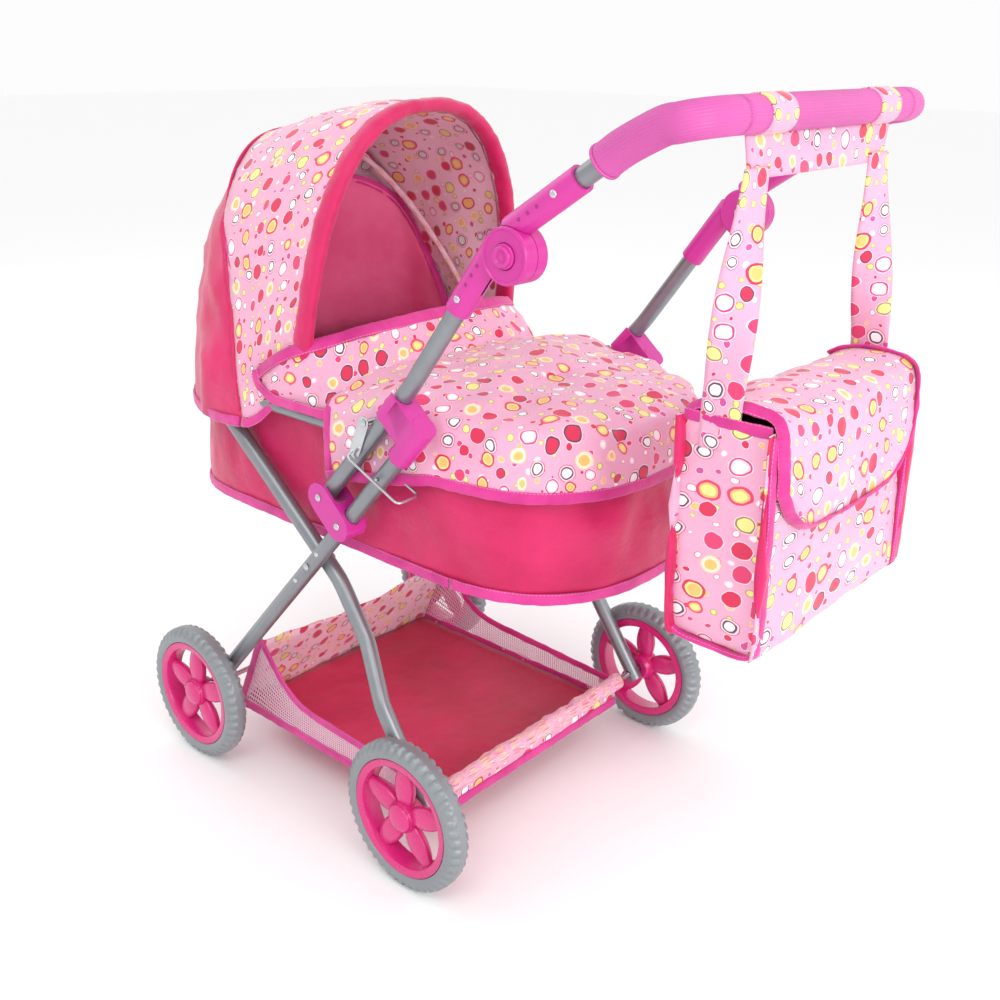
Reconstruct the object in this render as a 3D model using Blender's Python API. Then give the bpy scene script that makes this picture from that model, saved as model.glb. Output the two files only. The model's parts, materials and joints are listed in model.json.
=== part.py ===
"""Doll stroller with a folding cross frame, a soft cot with hood and foot cover,
a shopping basket, an adjustable push handle and a shoulder bag hung on its bar.

Units are metres. +Z is up, the hood end is towards -Y, the handle towards +Y, and +X is
the stroller's left. Everything is laid out from the point on the ground midway between
the axles. The whole stroller is then centred on its own bounding box.
"""
import math

import bmesh
import bpy
from mathutils import Vector

# ---------------------------------------------------------------- driving sizes
WHEELBASE = 0.321
OVERALL_WIDTH = 0.400
WHEEL_RADIUS = 0.0725
WHEEL_FACETS = 32
TYRE_WIDTH = 0.023
RIM_RADIUS = 0.058
AXLE_RADIUS = 0.003
TUBE_RADIUS = 0.008
TUBE_WALL = 0.001
RAIL_RADIUS = 0.006
PIN_RADIUS = 0.0022
TOUCH_GAP = 0.0003
RUN_GAP = 0.0005
SIDE_GAP = 0.001

# side frame, measured along the front leg from the front axle
LEG_ANGLE = math.radians(48.5)
CROSS_STATION = 0.262
BRACKET_STATION = 0.338
LATCH_STATION = 0.4165
LEG_LENGTH = 0.470
TUBE_SPACING = 0.033
COT_PIVOT_REACH = 0.105
HANDLE_BEND_REACH = 0.169
REAR_LEG_BEND_DROP = 0.025
REAR_LEG_SPREAD_START = 0.065
REAR_LEG_SPREAD_END = 0.125
REAR_LEG_SPREAD = 0.014
LEG_END = 0.009
BRACKET_HALF_LENGTH = 0.0145
BRACKET_HALF_WIDTH = 0.0118
WIRE_RADIUS = 0.0015
WIRE_REACH = 0.034
WIRE_HOOK = 0.011
CLIP_RADIUS = 0.0115
CLIP_CAP_START = 0.447
CLIP_CHANNEL_START = 0.463
CLIP_END = 0.493

# folding handle
UPPER_TUBE_ANGLE = math.radians(54.0)
JOINT_REACH = 0.1676
JOINT_OFFSET = 0.0170
JOINT_RADIUS = 0.0225
JOINT_HALF_WIDTH = 0.0125
CONNECTOR_RADIUS = 0.0110
LOWER_SOCKET_START = 0.092
SOCKET_END_GAP = 0.008
UPPER_ARM_ANGLE = math.radians(34.0)
UPPER_SOCKET_LENGTH = 0.085
TUBE_IN_SOCKET = 0.036
BUTTON_RADIUS = 0.0100
BUTTON_PROUD = 0.0020
GRIP_RADIUS = 0.0135
GRIP_START = 0.108
BAR_REACH = 0.156
BAR_RISE = 0.1079
HANDLE_CORNER = 0.050

# cot
RAIL_DROP = 0.0235
COT_LENGTH_AHEAD = 0.350
COT_LENGTH_BEHIND = 0.182
COT_HEIGHT = 0.122
COT_WALL = 0.004
COT_END_DEPTH = 0.140
REAR_LEG_TOP_AHEAD = 0.243
RAIL_AHEAD = 0.262
BOARD_THICKNESS = 0.004
HEM_WIRE_RADIUS = 0.002
APRON_CROWN = 0.030
APRON_SKIRT = 0.022
FLAP_RISE = 0.060

# hood
HOOD_HEIGHT = 0.282
HOOD_PIVOT_AHEAD = 0.125
HOOD_RIM_LEAN = 0.030
HOOD_SEAM_AHEAD = 0.109
HOOD_SEAM_LEAN = -0.066
HOOD_SEAM_DROP = 0.036
HOOD_BULGE = 0.034
HOOD_SKIRT = 0.024
HOOD_WALL = 0.003
HOOD_SQUARENESS = 2.5
HINGE_THICKNESS = 0.0022
HINGE_RADIUS = 0.009
BOW_RADIUS = 0.0022
BOW_FOOT = 0.0045

# bag
BAG_WIDTH = 0.236
BAG_DEPTH = 0.076
BAG_HEIGHT = 0.178
BAG_DROP = 0.216
BAG_WALL = 0.003
FLAP_LENGTH = 0.085
STRAP_WIDTH = 0.030
STRAP_THICKNESS = 0.0018
YOKE_HEIGHT = 0.030
LOOP_SPACING = 0.168
LOOP_WIDTH = 0.034

# basket
BASKET_FLOOR = 0.040
BASKET_WALL = 0.0025
BASKET_FRONT_HEIGHT = 0.092
BASKET_SIDE_HEIGHT = 0.040
BASKET_REAR_HEIGHT = 0.026

# ---------------------------------------------------------------- derived places
AXLE_HEIGHT = WHEEL_RADIUS * math.cos(math.pi / WHEEL_FACETS)
WHEEL_X = (OVERALL_WIDTH - TYRE_WIDTH) / 2
FRAME_X = OVERALL_WIDTH / 2 - TYRE_WIDTH - SIDE_GAP - TUBE_RADIUS
REAR_LEG_X = FRAME_X - 2 * TUBE_RADIUS - SIDE_GAP
RAIL_X = FRAME_X - TUBE_RADIUS - 2 * SIDE_GAP - RAIL_RADIUS
HINGE_PLATE_X = RAIL_X - RAIL_RADIUS - TOUCH_GAP
BOW_X = HINGE_PLATE_X - HINGE_THICKNESS - RUN_GAP - BOW_RADIUS
MIDDLE_BOW_X = BOW_X - 2 * BOW_RADIUS - RUN_GAP
COT_HALF_WIDTH = MIDDLE_BOW_X - BOW_RADIUS
HOOD_HALF_WIDTH = BOW_X + BOW_RADIUS + SIDE_GAP + HOOD_WALL
FRONT_AXLE = Vector((0.0, -WHEELBASE / 2, AXLE_HEIGHT))
REAR_AXLE = Vector((0.0, WHEELBASE / 2, AXLE_HEIGHT))
ALONG_LEG = Vector((0.0, math.cos(LEG_ANGLE), math.sin(LEG_ANGLE)))
ABOVE_LEG = Vector((0.0, -math.sin(LEG_ANGLE), math.cos(LEG_ANGLE)))
ALONG_UPPER = Vector((0.0, math.cos(UPPER_TUBE_ANGLE), math.sin(UPPER_TUBE_ANGLE)))
ABOVE_UPPER = Vector((0.0, -math.sin(UPPER_TUBE_ANGLE), math.cos(UPPER_TUBE_ANGLE)))
ALONG_ARM = Vector((0.0, math.cos(UPPER_ARM_ANGLE), math.sin(UPPER_ARM_ANGLE)))
ABOVE_ARM = Vector((0.0, -math.sin(UPPER_ARM_ANGLE), math.cos(UPPER_ARM_ANGLE)))


def on_leg(station, rise=0.0):
    """A point in the side plane, measured along the front leg and square to it."""
    return FRONT_AXLE + ALONG_LEG * station + ABOVE_LEG * rise


CROSS_PIVOT = on_leg(CROSS_STATION)
FOLD_PIVOT = on_leg(BRACKET_STATION, TUBE_SPACING)
LATCH_PIVOT = on_leg(LATCH_STATION)
COT_PIVOT = on_leg(BRACKET_STATION + COT_PIVOT_REACH, TUBE_SPACING + TUBE_RADIUS + PIN_RADIUS + RUN_GAP)
HANDLE_BEND = on_leg(BRACKET_STATION + HANDLE_BEND_REACH, TUBE_SPACING)
HANDLE_JOINT = HANDLE_BEND + ALONG_UPPER * JOINT_REACH - ABOVE_UPPER * JOINT_OFFSET
BAR = HANDLE_JOINT + Vector((0.0, BAR_REACH, BAR_RISE))
RAIL_Z = COT_PIVOT.z - RAIL_DROP
REAR_LEG_TOP = Vector((0.0, COT_PIVOT.y - REAR_LEG_TOP_AHEAD, RAIL_Z - RAIL_RADIUS - TUBE_RADIUS - 0.005))
COT_FRONT = COT_PIVOT.y - COT_LENGTH_AHEAD
COT_REAR = COT_PIVOT.y + COT_LENGTH_BEHIND
COT_TOP = RAIL_Z - 0.004
COT_FLOOR = COT_TOP - COT_HEIGHT
HOOD_PIVOT = Vector((0.0, COT_PIVOT.y - HOOD_PIVOT_AHEAD, RAIL_Z + 0.004))
HOOD_EDGE = HOOD_PIVOT.z + HINGE_RADIUS + SIDE_GAP
HOOD_SEAM_Y = HOOD_PIVOT.y - HOOD_SEAM_AHEAD
BAG_TOP = BAR.z - BAG_DROP
BAG_FRONT = BAR.y - 0.033
BAG_REAR = BAG_FRONT + BAG_DEPTH

SIDES = (("left", 1.0), ("right", -1.0))


# ---------------------------------------------------------------- materials
def material(name, colour, roughness, metallic=0.0):
    """A plain Principled material."""
    mat = bpy.data.materials.new(name)
    mat.use_nodes = True
    shader = mat.node_tree.nodes["Principled BSDF"]
    shader.inputs["Base Color"].default_value = (*colour, 1.0)
    shader.inputs["Roughness"].default_value = roughness
    shader.inputs["Metallic"].default_value = metallic
    mat.diffuse_color = (*colour, 1.0)
    return mat


# ---------------------------------------------------------------- mesh helpers
def finish_mesh(name, bm, mat, smooth_angle=35.0):
    """Turn a bmesh into a named object with outward faces and smooth round parts."""
    bmesh.ops.remove_doubles(bm, verts=bm.verts, dist=1e-7)
    bmesh.ops.recalc_face_normals(bm, faces=bm.faces)
    if bm.calc_volume(signed=True) < 0.0:
        bmesh.ops.reverse_faces(bm, faces=bm.faces)
    mesh = bpy.data.meshes.new(name)
    bm.to_mesh(mesh)
    bm.free()
    if mat is not None:
        mesh.materials.append(mat)
    mesh.shade_smooth()
    mesh.set_sharp_from_angle(angle=math.radians(smooth_angle))
    obj = bpy.data.objects.new(name, mesh)
    bpy.context.scene.collection.objects.link(obj)
    return obj


def rounded_path(points, radius, steps=5, closed=False):
    """The points joined by straight runs, with each corner turned by a short curve."""
    count = len(points)
    path = []
    for i, corner in enumerate(points):
        if not closed and i in (0, count - 1):
            path.append(Vector(corner))
            continue
        before = Vector(points[i - 1]) - Vector(corner)
        after = Vector(points[(i + 1) % count]) - Vector(corner)
        turn = math.pi - before.angle(after)
        reach = min(radius * math.tan(turn / 2), before.length * 0.45, after.length * 0.45)
        start = Vector(corner) + before.normalized() * reach
        end = Vector(corner) + after.normalized() * reach
        if turn < math.radians(1.0):
            path.append(Vector(corner))
            continue
        for k in range(steps + 1):
            t = k / steps
            path.append(start * (1 - t) ** 2 + Vector(corner) * 2 * t * (1 - t) + end * t ** 2)
    return path


def path_frames(path, closed=False):
    """A pair of square directions at each point of a path, carried along without twist."""
    count = len(path)
    frames = []
    side = None
    for i, point in enumerate(path):
        ahead = path[(i + 1) % count] if closed or i < count - 1 else point
        behind = path[i - 1] if closed or i > 0 else point
        tangent = (ahead - behind).normalized()
        if side is None:
            guide = Vector((1.0, 0.0, 0.0)) if abs(tangent.x) < 0.7 else Vector((0.0, 0.0, 1.0))
            side = tangent.cross(guide).normalized()
        side = (side - tangent * side.dot(tangent)).normalized()
        frames.append((side, tangent.cross(side)))
    return frames


def ring_faces(bm, first, second):
    """Quads between two rings of equal length."""
    count = len(first)
    for k in range(count):
        bm.faces.new((first[k], first[(k + 1) % count], second[(k + 1) % count], second[k]))


def tube(name, path, radius, mat, bore=0.0, sides=12, closed=False):
    """A round tube or rod along a path; a bore above zero makes it hollow, open at both ends."""
    bm = bmesh.new()
    walls = []
    frames = path_frames(path, closed)
    for r in (radius, bore):
        if r <= 0.0:
            continue
        rings = []
        for point, (side, up) in zip(path, frames):
            ring = []
            for k in range(sides):
                a = 2 * math.pi * (k + 0.5) / sides
                ring.append(bm.verts.new(point + side * (r * math.cos(a)) + up * (r * math.sin(a))))
            rings.append(ring)
        walls.append(rings)
        for first, second in zip(rings, rings[1:]):
            ring_faces(bm, first, second)
        if closed:
            ring_faces(bm, rings[-1], rings[0])
    if not closed and len(walls) == 2:
        ring_faces(bm, walls[0][0], walls[1][0])
        ring_faces(bm, walls[0][-1], walls[1][-1])
    elif not closed:
        bm.faces.new(walls[0][0])
        bm.faces.new(walls[0][-1])
    return finish_mesh(name, bm, mat)


def turned(name, profile, centre, mat, facets=24, ring=False, sign=1.0, phase=0.5):
    """A shape turned about the X direction through centre; profile holds (x, radius) pairs."""
    bm = bmesh.new()
    rings = []
    for x, r in profile:
        if r <= 0.0:
            rings.append([bm.verts.new((sign * x, centre.y, centre.z))])
            continue
        row = []
        for k in range(facets):
            a = 2 * math.pi * (k + phase) / facets - math.pi / 2
            row.append(bm.verts.new((sign * x, centre.y + r * math.cos(a), centre.z + r * math.sin(a))))
        rings.append(row)
    pairs = list(zip(rings, rings[1:]))
    if ring:
        pairs.append((rings[-1], rings[0]))
    for first, second in pairs:
        if len(first) == 1 or len(second) == 1:
            pole, row = (first[0], second) if len(first) == 1 else (second[0], first)
            for k in range(facets):
                bm.faces.new((pole, row[k], row[(k + 1) % facets]))
        else:
            ring_faces(bm, first, second)
    return finish_mesh(name, bm, mat)


def rod_x(name, centre, radius, x0, x1, mat, sign=1.0, facets=12):
    """A straight round rod along X."""
    profile = [(x0, 0.0), (x0, radius), (x1, radius), (x1, 0.0)]
    return turned(name, profile, centre, mat, facets, sign=sign)


def plate_x(name, outline, x0, x1, mat, sign=1.0):
    """A flat plate: an outline of points in the side plane, thickened along X."""
    bm = bmesh.new()
    near = [bm.verts.new((sign * x0, p.y, p.z)) for p in outline]
    far = [bm.verts.new((sign * x1, p.y, p.z)) for p in outline]
    bm.faces.new(near)
    bm.faces.new(far)
    ring_faces(bm, near, far)
    return finish_mesh(name, bm, mat)


def rod_along(name, start, end, radius, mat, facets=16):
    """A straight round rod between two points."""
    return tube(name, [start, end], radius, mat, sides=facets)


def apply_modifiers(obj):
    """Replace the object's mesh by its evaluated one."""
    graph = bpy.context.evaluated_depsgraph_get()
    mesh = bpy.data.meshes.new_from_object(obj.evaluated_get(graph))
    obj.modifiers.clear()
    obj.data = mesh


def combine(obj, others, operation):
    """Boolean the other objects into obj, one after another, and drop them."""
    for other in others:
        modifier = obj.modifiers.new(operation.lower(), "BOOLEAN")
        modifier.operation = operation
        modifier.solver = "EXACT"
        modifier.object = other
        apply_modifiers(obj)
        bpy.data.objects.remove(other)
    obj.data.shade_smooth()
    obj.data.set_sharp_from_angle(angle=math.radians(35.0))
    return obj


def cut(obj, *cutters):
    return combine(obj, cutters, "DIFFERENCE")


def fuse(obj, *others):
    return combine(obj, others, "UNION")


def hole_x(centre, radius, x0, x1, sign):
    """A cutter for a round hole along X."""
    return rod_x("cutter", centre, radius, x0, x1, None, sign, facets=12)


def stadium(first, second, radius, steps=8):
    """The outline of a rounded bar between two points of the side plane."""
    axis = (second - first).normalized()
    normal = Vector((0.0, -axis.z, axis.y))
    outline = []
    for centre, start in ((second, 0.0), (first, math.pi)):
        for k in range(steps + 1):
            a = start + math.pi * (0.5 - k / steps)
            outline.append(centre + axis * (radius * math.cos(a)) + normal * (radius * math.sin(a)))
    return outline


def shell(name, grid, thickness, mat):
    """A closed sheet of even thickness inside a grid of surface points, rows by columns."""
    rows = len(grid)
    cols = len(grid[0])
    bm = bmesh.new()
    outer = [[bm.verts.new(p) for p in row] for row in grid]
    middle = sum((p for row in grid for p in row), Vector()) / (rows * cols)
    inner = []
    for i in range(rows):
        line = []
        for j in range(cols):
            across = grid[i][min(j + 1, cols - 1)] - grid[i][max(j - 1, 0)]
            down = grid[min(i + 1, rows - 1)][j] - grid[max(i - 1, 0)][j]
            normal = across.cross(down).normalized()
            if normal.dot(middle - grid[i][j]) < 0.0:
                normal.negate()
            line.append(bm.verts.new(grid[i][j] + normal * thickness))
        inner.append(line)
    for layer in (outer, inner):
        for i in range(rows - 1):
            for j in range(cols - 1):
                bm.faces.new((layer[i][j], layer[i][j + 1], layer[i + 1][j + 1], layer[i + 1][j]))
    for j in range(cols - 1):
        bm.faces.new((outer[0][j], outer[0][j + 1], inner[0][j + 1], inner[0][j]))
        bm.faces.new((outer[-1][j], outer[-1][j + 1], inner[-1][j + 1], inner[-1][j]))
    for i in range(rows - 1):
        bm.faces.new((outer[i][0], outer[i + 1][0], inner[i + 1][0], inner[i][0]))
        bm.faces.new((outer[i][-1], outer[i + 1][-1], inner[i + 1][-1], inner[i][-1]))
    return finish_mesh(name, bm, mat)


def tub(name, rings, mat):
    """A closed body through stacked outlines of equal length, capped at both ends."""
    bm = bmesh.new()
    loops = [[bm.verts.new(p) for p in ring] for ring in rings]
    for first, second in zip(loops, loops[1:]):
        ring_faces(bm, first, second)
    bm.faces.new(loops[0])
    bm.faces.new(loops[-1])
    return finish_mesh(name, bm, mat)


# ---------------------------------------------------------------- wheels
def wheel_rim(name, mat):
    """Turned rim and hub with a blind axle bore, cut into five fat spokes."""
    bore = AXLE_RADIUS + RUN_GAP
    half = TYRE_WIDTH / 2 - 0.0015
    profile = [
        (0.0070, 0.0), (0.0070, bore), (-0.0120, bore), (-0.0120, 0.012), (-0.0060, 0.0135),
        (-0.0060, RIM_RADIUS - 0.0085), (-half, RIM_RADIUS - 0.0075), (-half, RIM_RADIUS - 0.0005),
        (half, RIM_RADIUS - 0.0005), (half, RIM_RADIUS - 0.0075), (0.0060, RIM_RADIUS - 0.0085),
        (0.0060, 0.0140), (0.0115, 0.0125), (0.0134, 0.0),
    ]
    rim = turned(name, profile, Vector(), mat, WHEEL_FACETS)
    inner = 0.0200
    outer = RIM_RADIUS - 0.0115
    windows = []
    for k in range(5):
        mid = math.radians(90 + 36 + 72 * k)
        outline = []
        for r, spread in ((inner, -14), (outer * 0.72, -21), (outer, -19), (outer + 0.001, 0), (outer, 19),
                          (outer * 0.72, 21), (inner, 14)):
            a = mid + math.radians(spread)
            outline.append(Vector((0.0, r * math.cos(a), r * math.sin(a))))
        windows.append(plate_x("window", outline, -0.02, 0.02, None))
    return cut(rim, *windows)


def tyre(name, mat):
    """A soft tyre with rounded shoulders."""
    half = TYRE_WIDTH / 2
    seat = RIM_RADIUS - 0.0005 + TOUCH_GAP
    profile = [
        (-half, seat), (-half, WHEEL_RADIUS - 0.006), (-half + 0.0045, WHEEL_RADIUS),
        (half - 0.0045, WHEEL_RADIUS), (half, WHEEL_RADIUS - 0.006), (half, seat),
    ]
    return turned(name, profile, Vector(), mat, WHEEL_FACETS, ring=True)


def copy_to(obj, name, place, turn=0.0):
    """Another object that shares obj's mesh."""
    other = bpy.data.objects.new(name, obj.data)
    bpy.context.scene.collection.objects.link(other)
    other.location = place
    other.rotation_euler = (0.0, 0.0, turn)
    return other


def wheels(rim_mat, tyre_mat):
    """Four equal wheels on the two axles."""
    rim = wheel_rim("rim_pattern", rim_mat)
    band = tyre("tyre_pattern", tyre_mat)
    made = {}
    for end, axle in (("front", FRONT_AXLE), ("rear", REAR_AXLE)):
        for side, sign in SIDES:
            place = Vector((sign * WHEEL_X, axle.y, axle.z))
            turn = 0.0 if sign > 0 else math.pi
            made[f"{end}_wheel_{side}"] = [
                copy_to(rim, f"{end}_wheel_{side}", place, turn),
                copy_to(band, f"{end}_tyre_{side}", place, turn),
            ]
    bpy.data.objects.remove(rim)
    bpy.data.objects.remove(band)
    return made


def axle(name, centre, mat):
    """A plain rod right across, into both hubs."""
    reach = WHEEL_X + 0.0065
    return rod_x(name, centre, AXLE_RADIUS, -reach, reach, mat)


# ---------------------------------------------------------------- cross frame
def at_x(point, x):
    """A side-plane point moved out to x."""
    return Vector((x, point.y, point.z))


def drill(obj, centre, x, sign, radius):
    """A hole for a pin, square through a tube that lies at x."""
    reach = TUBE_RADIUS + 0.004
    return cut(obj, hole_x(centre, radius, x - reach, x + reach, sign))


def front_leg(side, sign, mat):
    path = [at_x(on_leg(-LEG_END), sign * FRAME_X), at_x(on_leg(LEG_LENGTH), sign * FRAME_X)]
    leg = tube(f"front_leg_{side}", path, TUBE_RADIUS, mat, TUBE_RADIUS - TUBE_WALL)
    for centre, radius in ((FRONT_AXLE, AXLE_RADIUS), (CROSS_PIVOT, PIN_RADIUS), (LATCH_PIVOT, WIRE_RADIUS)):
        drill(leg, centre, FRAME_X, sign, radius + RUN_GAP)
    return leg


def rear_leg(side, sign, mat):
    """Runs inside the front leg at the crossing, then spreads out towards the wheel."""
    upper = (CROSS_PIVOT - REAR_LEG_TOP).normalized()
    bend = CROSS_PIVOT + upper * REAR_LEG_BEND_DROP
    lower = (REAR_AXLE - bend).normalized()
    low_x = REAR_LEG_X + REAR_LEG_SPREAD
    points = [
        at_x(REAR_LEG_TOP, sign * REAR_LEG_X),
        at_x(bend, sign * REAR_LEG_X),
        at_x(bend + lower * REAR_LEG_SPREAD_START, sign * REAR_LEG_X),
        at_x(bend + lower * REAR_LEG_SPREAD_END, sign * low_x),
        at_x(REAR_AXLE + lower * LEG_END, sign * low_x),
    ]
    path = rounded_path(points, 0.060, 2)
    leg = tube(f"rear_leg_{side}", path, TUBE_RADIUS, mat, TUBE_RADIUS - TUBE_WALL)
    drill(leg, CROSS_PIVOT, REAR_LEG_X, sign, PIN_RADIUS + RUN_GAP)
    drill(leg, REAR_AXLE, low_x, sign, AXLE_RADIUS + RUN_GAP)
    return leg


def headed_pin(name, centre, radius, x0, x1, mat, sign):
    """A rivet with a low round head at each end; x0 and x1 lie under its heads."""
    head = radius + 0.0018
    profile = [
        (x0 - 0.0018, 0.0), (x0 - 0.0014, head * 0.6), (x0, head), (x0, radius),
        (x1, radius), (x1, head), (x1 + 0.0014, head * 0.6), (x1 + 0.0018, 0.0),
    ]
    return turned(name, profile, centre, mat, 12, sign=sign)


def cross_pin(side, sign, mat):
    x0 = REAR_LEG_X - TUBE_RADIUS - TOUCH_GAP
    x1 = FRAME_X + TUBE_RADIUS + TOUCH_GAP
    return headed_pin(f"cross_pin_{side}", CROSS_PIVOT, PIN_RADIUS, x0, x1, mat, sign)


def frame_bracket(side, sign, mat):
    """A block riveted on the front leg, with two cheeks that hold the handle tube's foot."""
    middle = on_leg(BRACKET_STATION, TUBE_SPACING / 2)
    low = middle - ABOVE_LEG * (TUBE_SPACING / 2)
    high = middle + ABOVE_LEG * (TUBE_SPACING / 2)
    inner = FRAME_X - BRACKET_HALF_WIDTH
    outer = FRAME_X + BRACKET_HALF_WIDTH
    block = plate_x(f"frame_bracket_{side}", stadium(low, high, BRACKET_HALF_LENGTH, 6), inner, outer, mat, sign)
    slot_half = TUBE_RADIUS + RUN_GAP
    floor = TUBE_SPACING / 2 - 0.001
    reach = 0.04
    corners = ((-reach, floor), (reach, floor), (reach, 0.09), (-reach, 0.09))
    outline = [on_leg(BRACKET_STATION + s, n) for s, n in corners]
    slot = plate_x("slot", outline, FRAME_X - slot_half, FRAME_X + slot_half, None, sign)
    bore = rod_along("bore", at_x(on_leg(BRACKET_STATION - reach), sign * FRAME_X),
                     at_x(on_leg(BRACKET_STATION + reach), sign * FRAME_X), slot_half, None)
    pivot = hole_x(FOLD_PIVOT, PIN_RADIUS + RUN_GAP, inner - 0.01, outer + 0.01, sign)
    return cut(block, slot, bore, pivot)


def fold_pin(side, sign, mat):
    x0 = FRAME_X - BRACKET_HALF_WIDTH - TOUCH_GAP
    x1 = FRAME_X + BRACKET_HALF_WIDTH + TOUCH_GAP
    return headed_pin(f"fold_pin_{side}", FOLD_PIVOT, PIN_RADIUS, x0, x1, mat, sign)


def lock_wire(side, sign, mat):
    """A bent wire through the front leg: a hook over the handle plate and a finger loop behind."""
    outer = sign * (FRAME_X + TUBE_RADIUS + 0.006)
    inner = sign * (FRAME_X - TUBE_RADIUS - 0.004)
    corner = on_leg(LATCH_STATION - WIRE_HOOK, WIRE_REACH)
    hook = on_leg(LATCH_STATION, WIRE_REACH)
    loop = on_leg(LATCH_STATION + WIRE_HOOK, -WIRE_REACH + 0.002)
    points = [
        at_x(hook, outer), at_x(corner, outer), at_x(loop, outer), at_x(loop, inner),
        at_x(LATCH_PIVOT, inner), at_x(LATCH_PIVOT, sign * (FRAME_X + TUBE_RADIUS + 0.0025)),
    ]
    return tube(f"lock_wire_{side}", rounded_path(points, 0.005, 3), WIRE_RADIUS, mat, sides=6)


def lock_clip(side, sign, mat):
    """A slider: a cap over the front leg's top end and an open channel for the handle tube."""
    x = sign * FRAME_X
    cap = rod_along(f"lock_clip_{side}", at_x(on_leg(CLIP_CAP_START), x), at_x(on_leg(CLIP_END), x),
                    CLIP_RADIUS, mat, 16)
    barrel = rod_along("barrel", at_x(on_leg(CLIP_CHANNEL_START, TUBE_SPACING), x),
                       at_x(on_leg(CLIP_END - 0.0002, TUBE_SPACING), x), CLIP_RADIUS, mat, 16)
    side_half = CLIP_RADIUS - 0.0006
    corners = ((CLIP_CHANNEL_START + 0.0003, 0.0), (CLIP_END - 0.0004, 0.0),
               (CLIP_END - 0.0004, TUBE_SPACING), (CLIP_CHANNEL_START + 0.0003, TUBE_SPACING))
    web = plate_x("web", [on_leg(s, n) for s, n in corners], FRAME_X - side_half, FRAME_X + side_half, mat, sign)
    fuse(cap, web, barrel)
    fit = TUBE_RADIUS + RUN_GAP
    bore = rod_along("bore", at_x(on_leg(CLIP_CAP_START - 0.01), x), at_x(on_leg(LEG_LENGTH + 0.002), x), fit, None)
    groove = rod_along("groove", at_x(on_leg(CLIP_CAP_START - 0.01, TUBE_SPACING), x),
                       at_x(on_leg(CLIP_END + 0.01, TUBE_SPACING), x), fit, None)
    rim = TUBE_SPACING + CLIP_RADIUS + 0.004
    corners = ((CLIP_CAP_START - 0.01, TUBE_SPACING), (CLIP_END + 0.01, TUBE_SPACING),
               (CLIP_END + 0.01, rim), (CLIP_CAP_START - 0.01, rim))
    mouth = plate_x("mouth", [on_leg(s, n) for s, n in corners], FRAME_X - fit, FRAME_X + fit, None, sign)
    return cut(cap, bore, groove, mouth)


# ---------------------------------------------------------------- handle
def handle_tube(side, sign, mat):
    """From the bracket up to the lower connector, with one slight bend."""
    foot = on_leg(BRACKET_STATION - LEG_END, TUBE_SPACING)
    top = HANDLE_BEND + ALONG_UPPER * (LOWER_SOCKET_START + TUBE_IN_SOCKET)
    path = rounded_path([at_x(p, sign * FRAME_X) for p in (foot, HANDLE_BEND, top)], 0.2, 3)
    piece = tube(f"handle_tube_{side}", path, TUBE_RADIUS, mat, TUBE_RADIUS - TUBE_WALL)
    return drill(piece, FOLD_PIVOT, FRAME_X, sign, PIN_RADIUS + RUN_GAP)


def hinge_plate(side, sign, mat):
    """Flat steel plate on the handle tube that carries the cot's rear pivot."""
    low = on_leg(LATCH_STATION - 0.004, TUBE_SPACING)
    inner = FRAME_X + TUBE_RADIUS + RUN_GAP
    plate = plate_x(f"hinge_plate_{side}", stadium(low, COT_PIVOT, 0.0062, 5), inner, inner + 0.0015, mat, sign)
    return cut(plate, hole_x(COT_PIVOT, PIN_RADIUS + TOUCH_GAP, inner - 0.01, inner + 0.01, sign))


def cot_bolt(side, sign, mat):
    x0 = RAIL_X - 0.0015 - TOUCH_GAP
    x1 = FRAME_X + TUBE_RADIUS + RUN_GAP + 0.0015 + TOUCH_GAP
    return headed_pin(f"cot_bolt_{side}", COT_PIVOT, PIN_RADIUS, x0, x1, mat, sign)


def joint_disc(name, x0, x1, mat, sign):
    edge = 0.0012
    profile = [(x0, 0.0), (x0, JOINT_RADIUS), (x1 - edge, JOINT_RADIUS), (x1, JOINT_RADIUS - edge), (x1, 0.0)]
    return turned(name, profile, HANDLE_JOINT, mat, 32, sign=sign)


def connector(name, sign, disc_span, disc_room, barrel, bore, mat):
    """A tube socket joined to one half of the round angle joint, clear of the other half."""
    body = joint_disc(name, disc_span[0], disc_span[1], mat, sign)
    socket = rod_along("socket", barrel[0], barrel[1], CONNECTOR_RADIUS, mat, 16)
    fuse(body, socket)
    room = rod_x("room", HANDLE_JOINT, JOINT_RADIUS + RUN_GAP, disc_room[0], disc_room[1], None, sign, 32)
    hollow = rod_along("hollow", bore[0], bore[1], TUBE_RADIUS + TOUCH_GAP, None)
    return cut(body, room, hollow)


def lower_connector(side, sign, mat):
    x = sign * FRAME_X
    start = HANDLE_BEND + ALONG_UPPER * LOWER_SOCKET_START
    end = HANDLE_JOINT + ABOVE_UPPER * JOINT_OFFSET - ALONG_UPPER * SOCKET_END_GAP
    spans = (FRAME_X + TOUCH_GAP, FRAME_X + JOINT_HALF_WIDTH), (FRAME_X - 0.03, FRAME_X + 0.0001)
    bore_end = start + ALONG_UPPER * (TUBE_IN_SOCKET + RUN_GAP)
    bore = at_x(start - ALONG_UPPER * 0.01, x), at_x(bore_end, x)
    piece = connector(f"lower_connector_{side}", sign, *spans, (at_x(start, x), at_x(end, x)), bore, mat)
    pin_hole = hole_x(HANDLE_JOINT, AXLE_RADIUS + RUN_GAP, FRAME_X - 0.02, FRAME_X + 0.02, sign)
    pocket = rod_x("pocket", HANDLE_JOINT, BUTTON_RADIUS + RUN_GAP, FRAME_X + 0.0025, FRAME_X + 0.03, None, sign, 24)
    return cut(piece, pin_hole, pocket)


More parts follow.
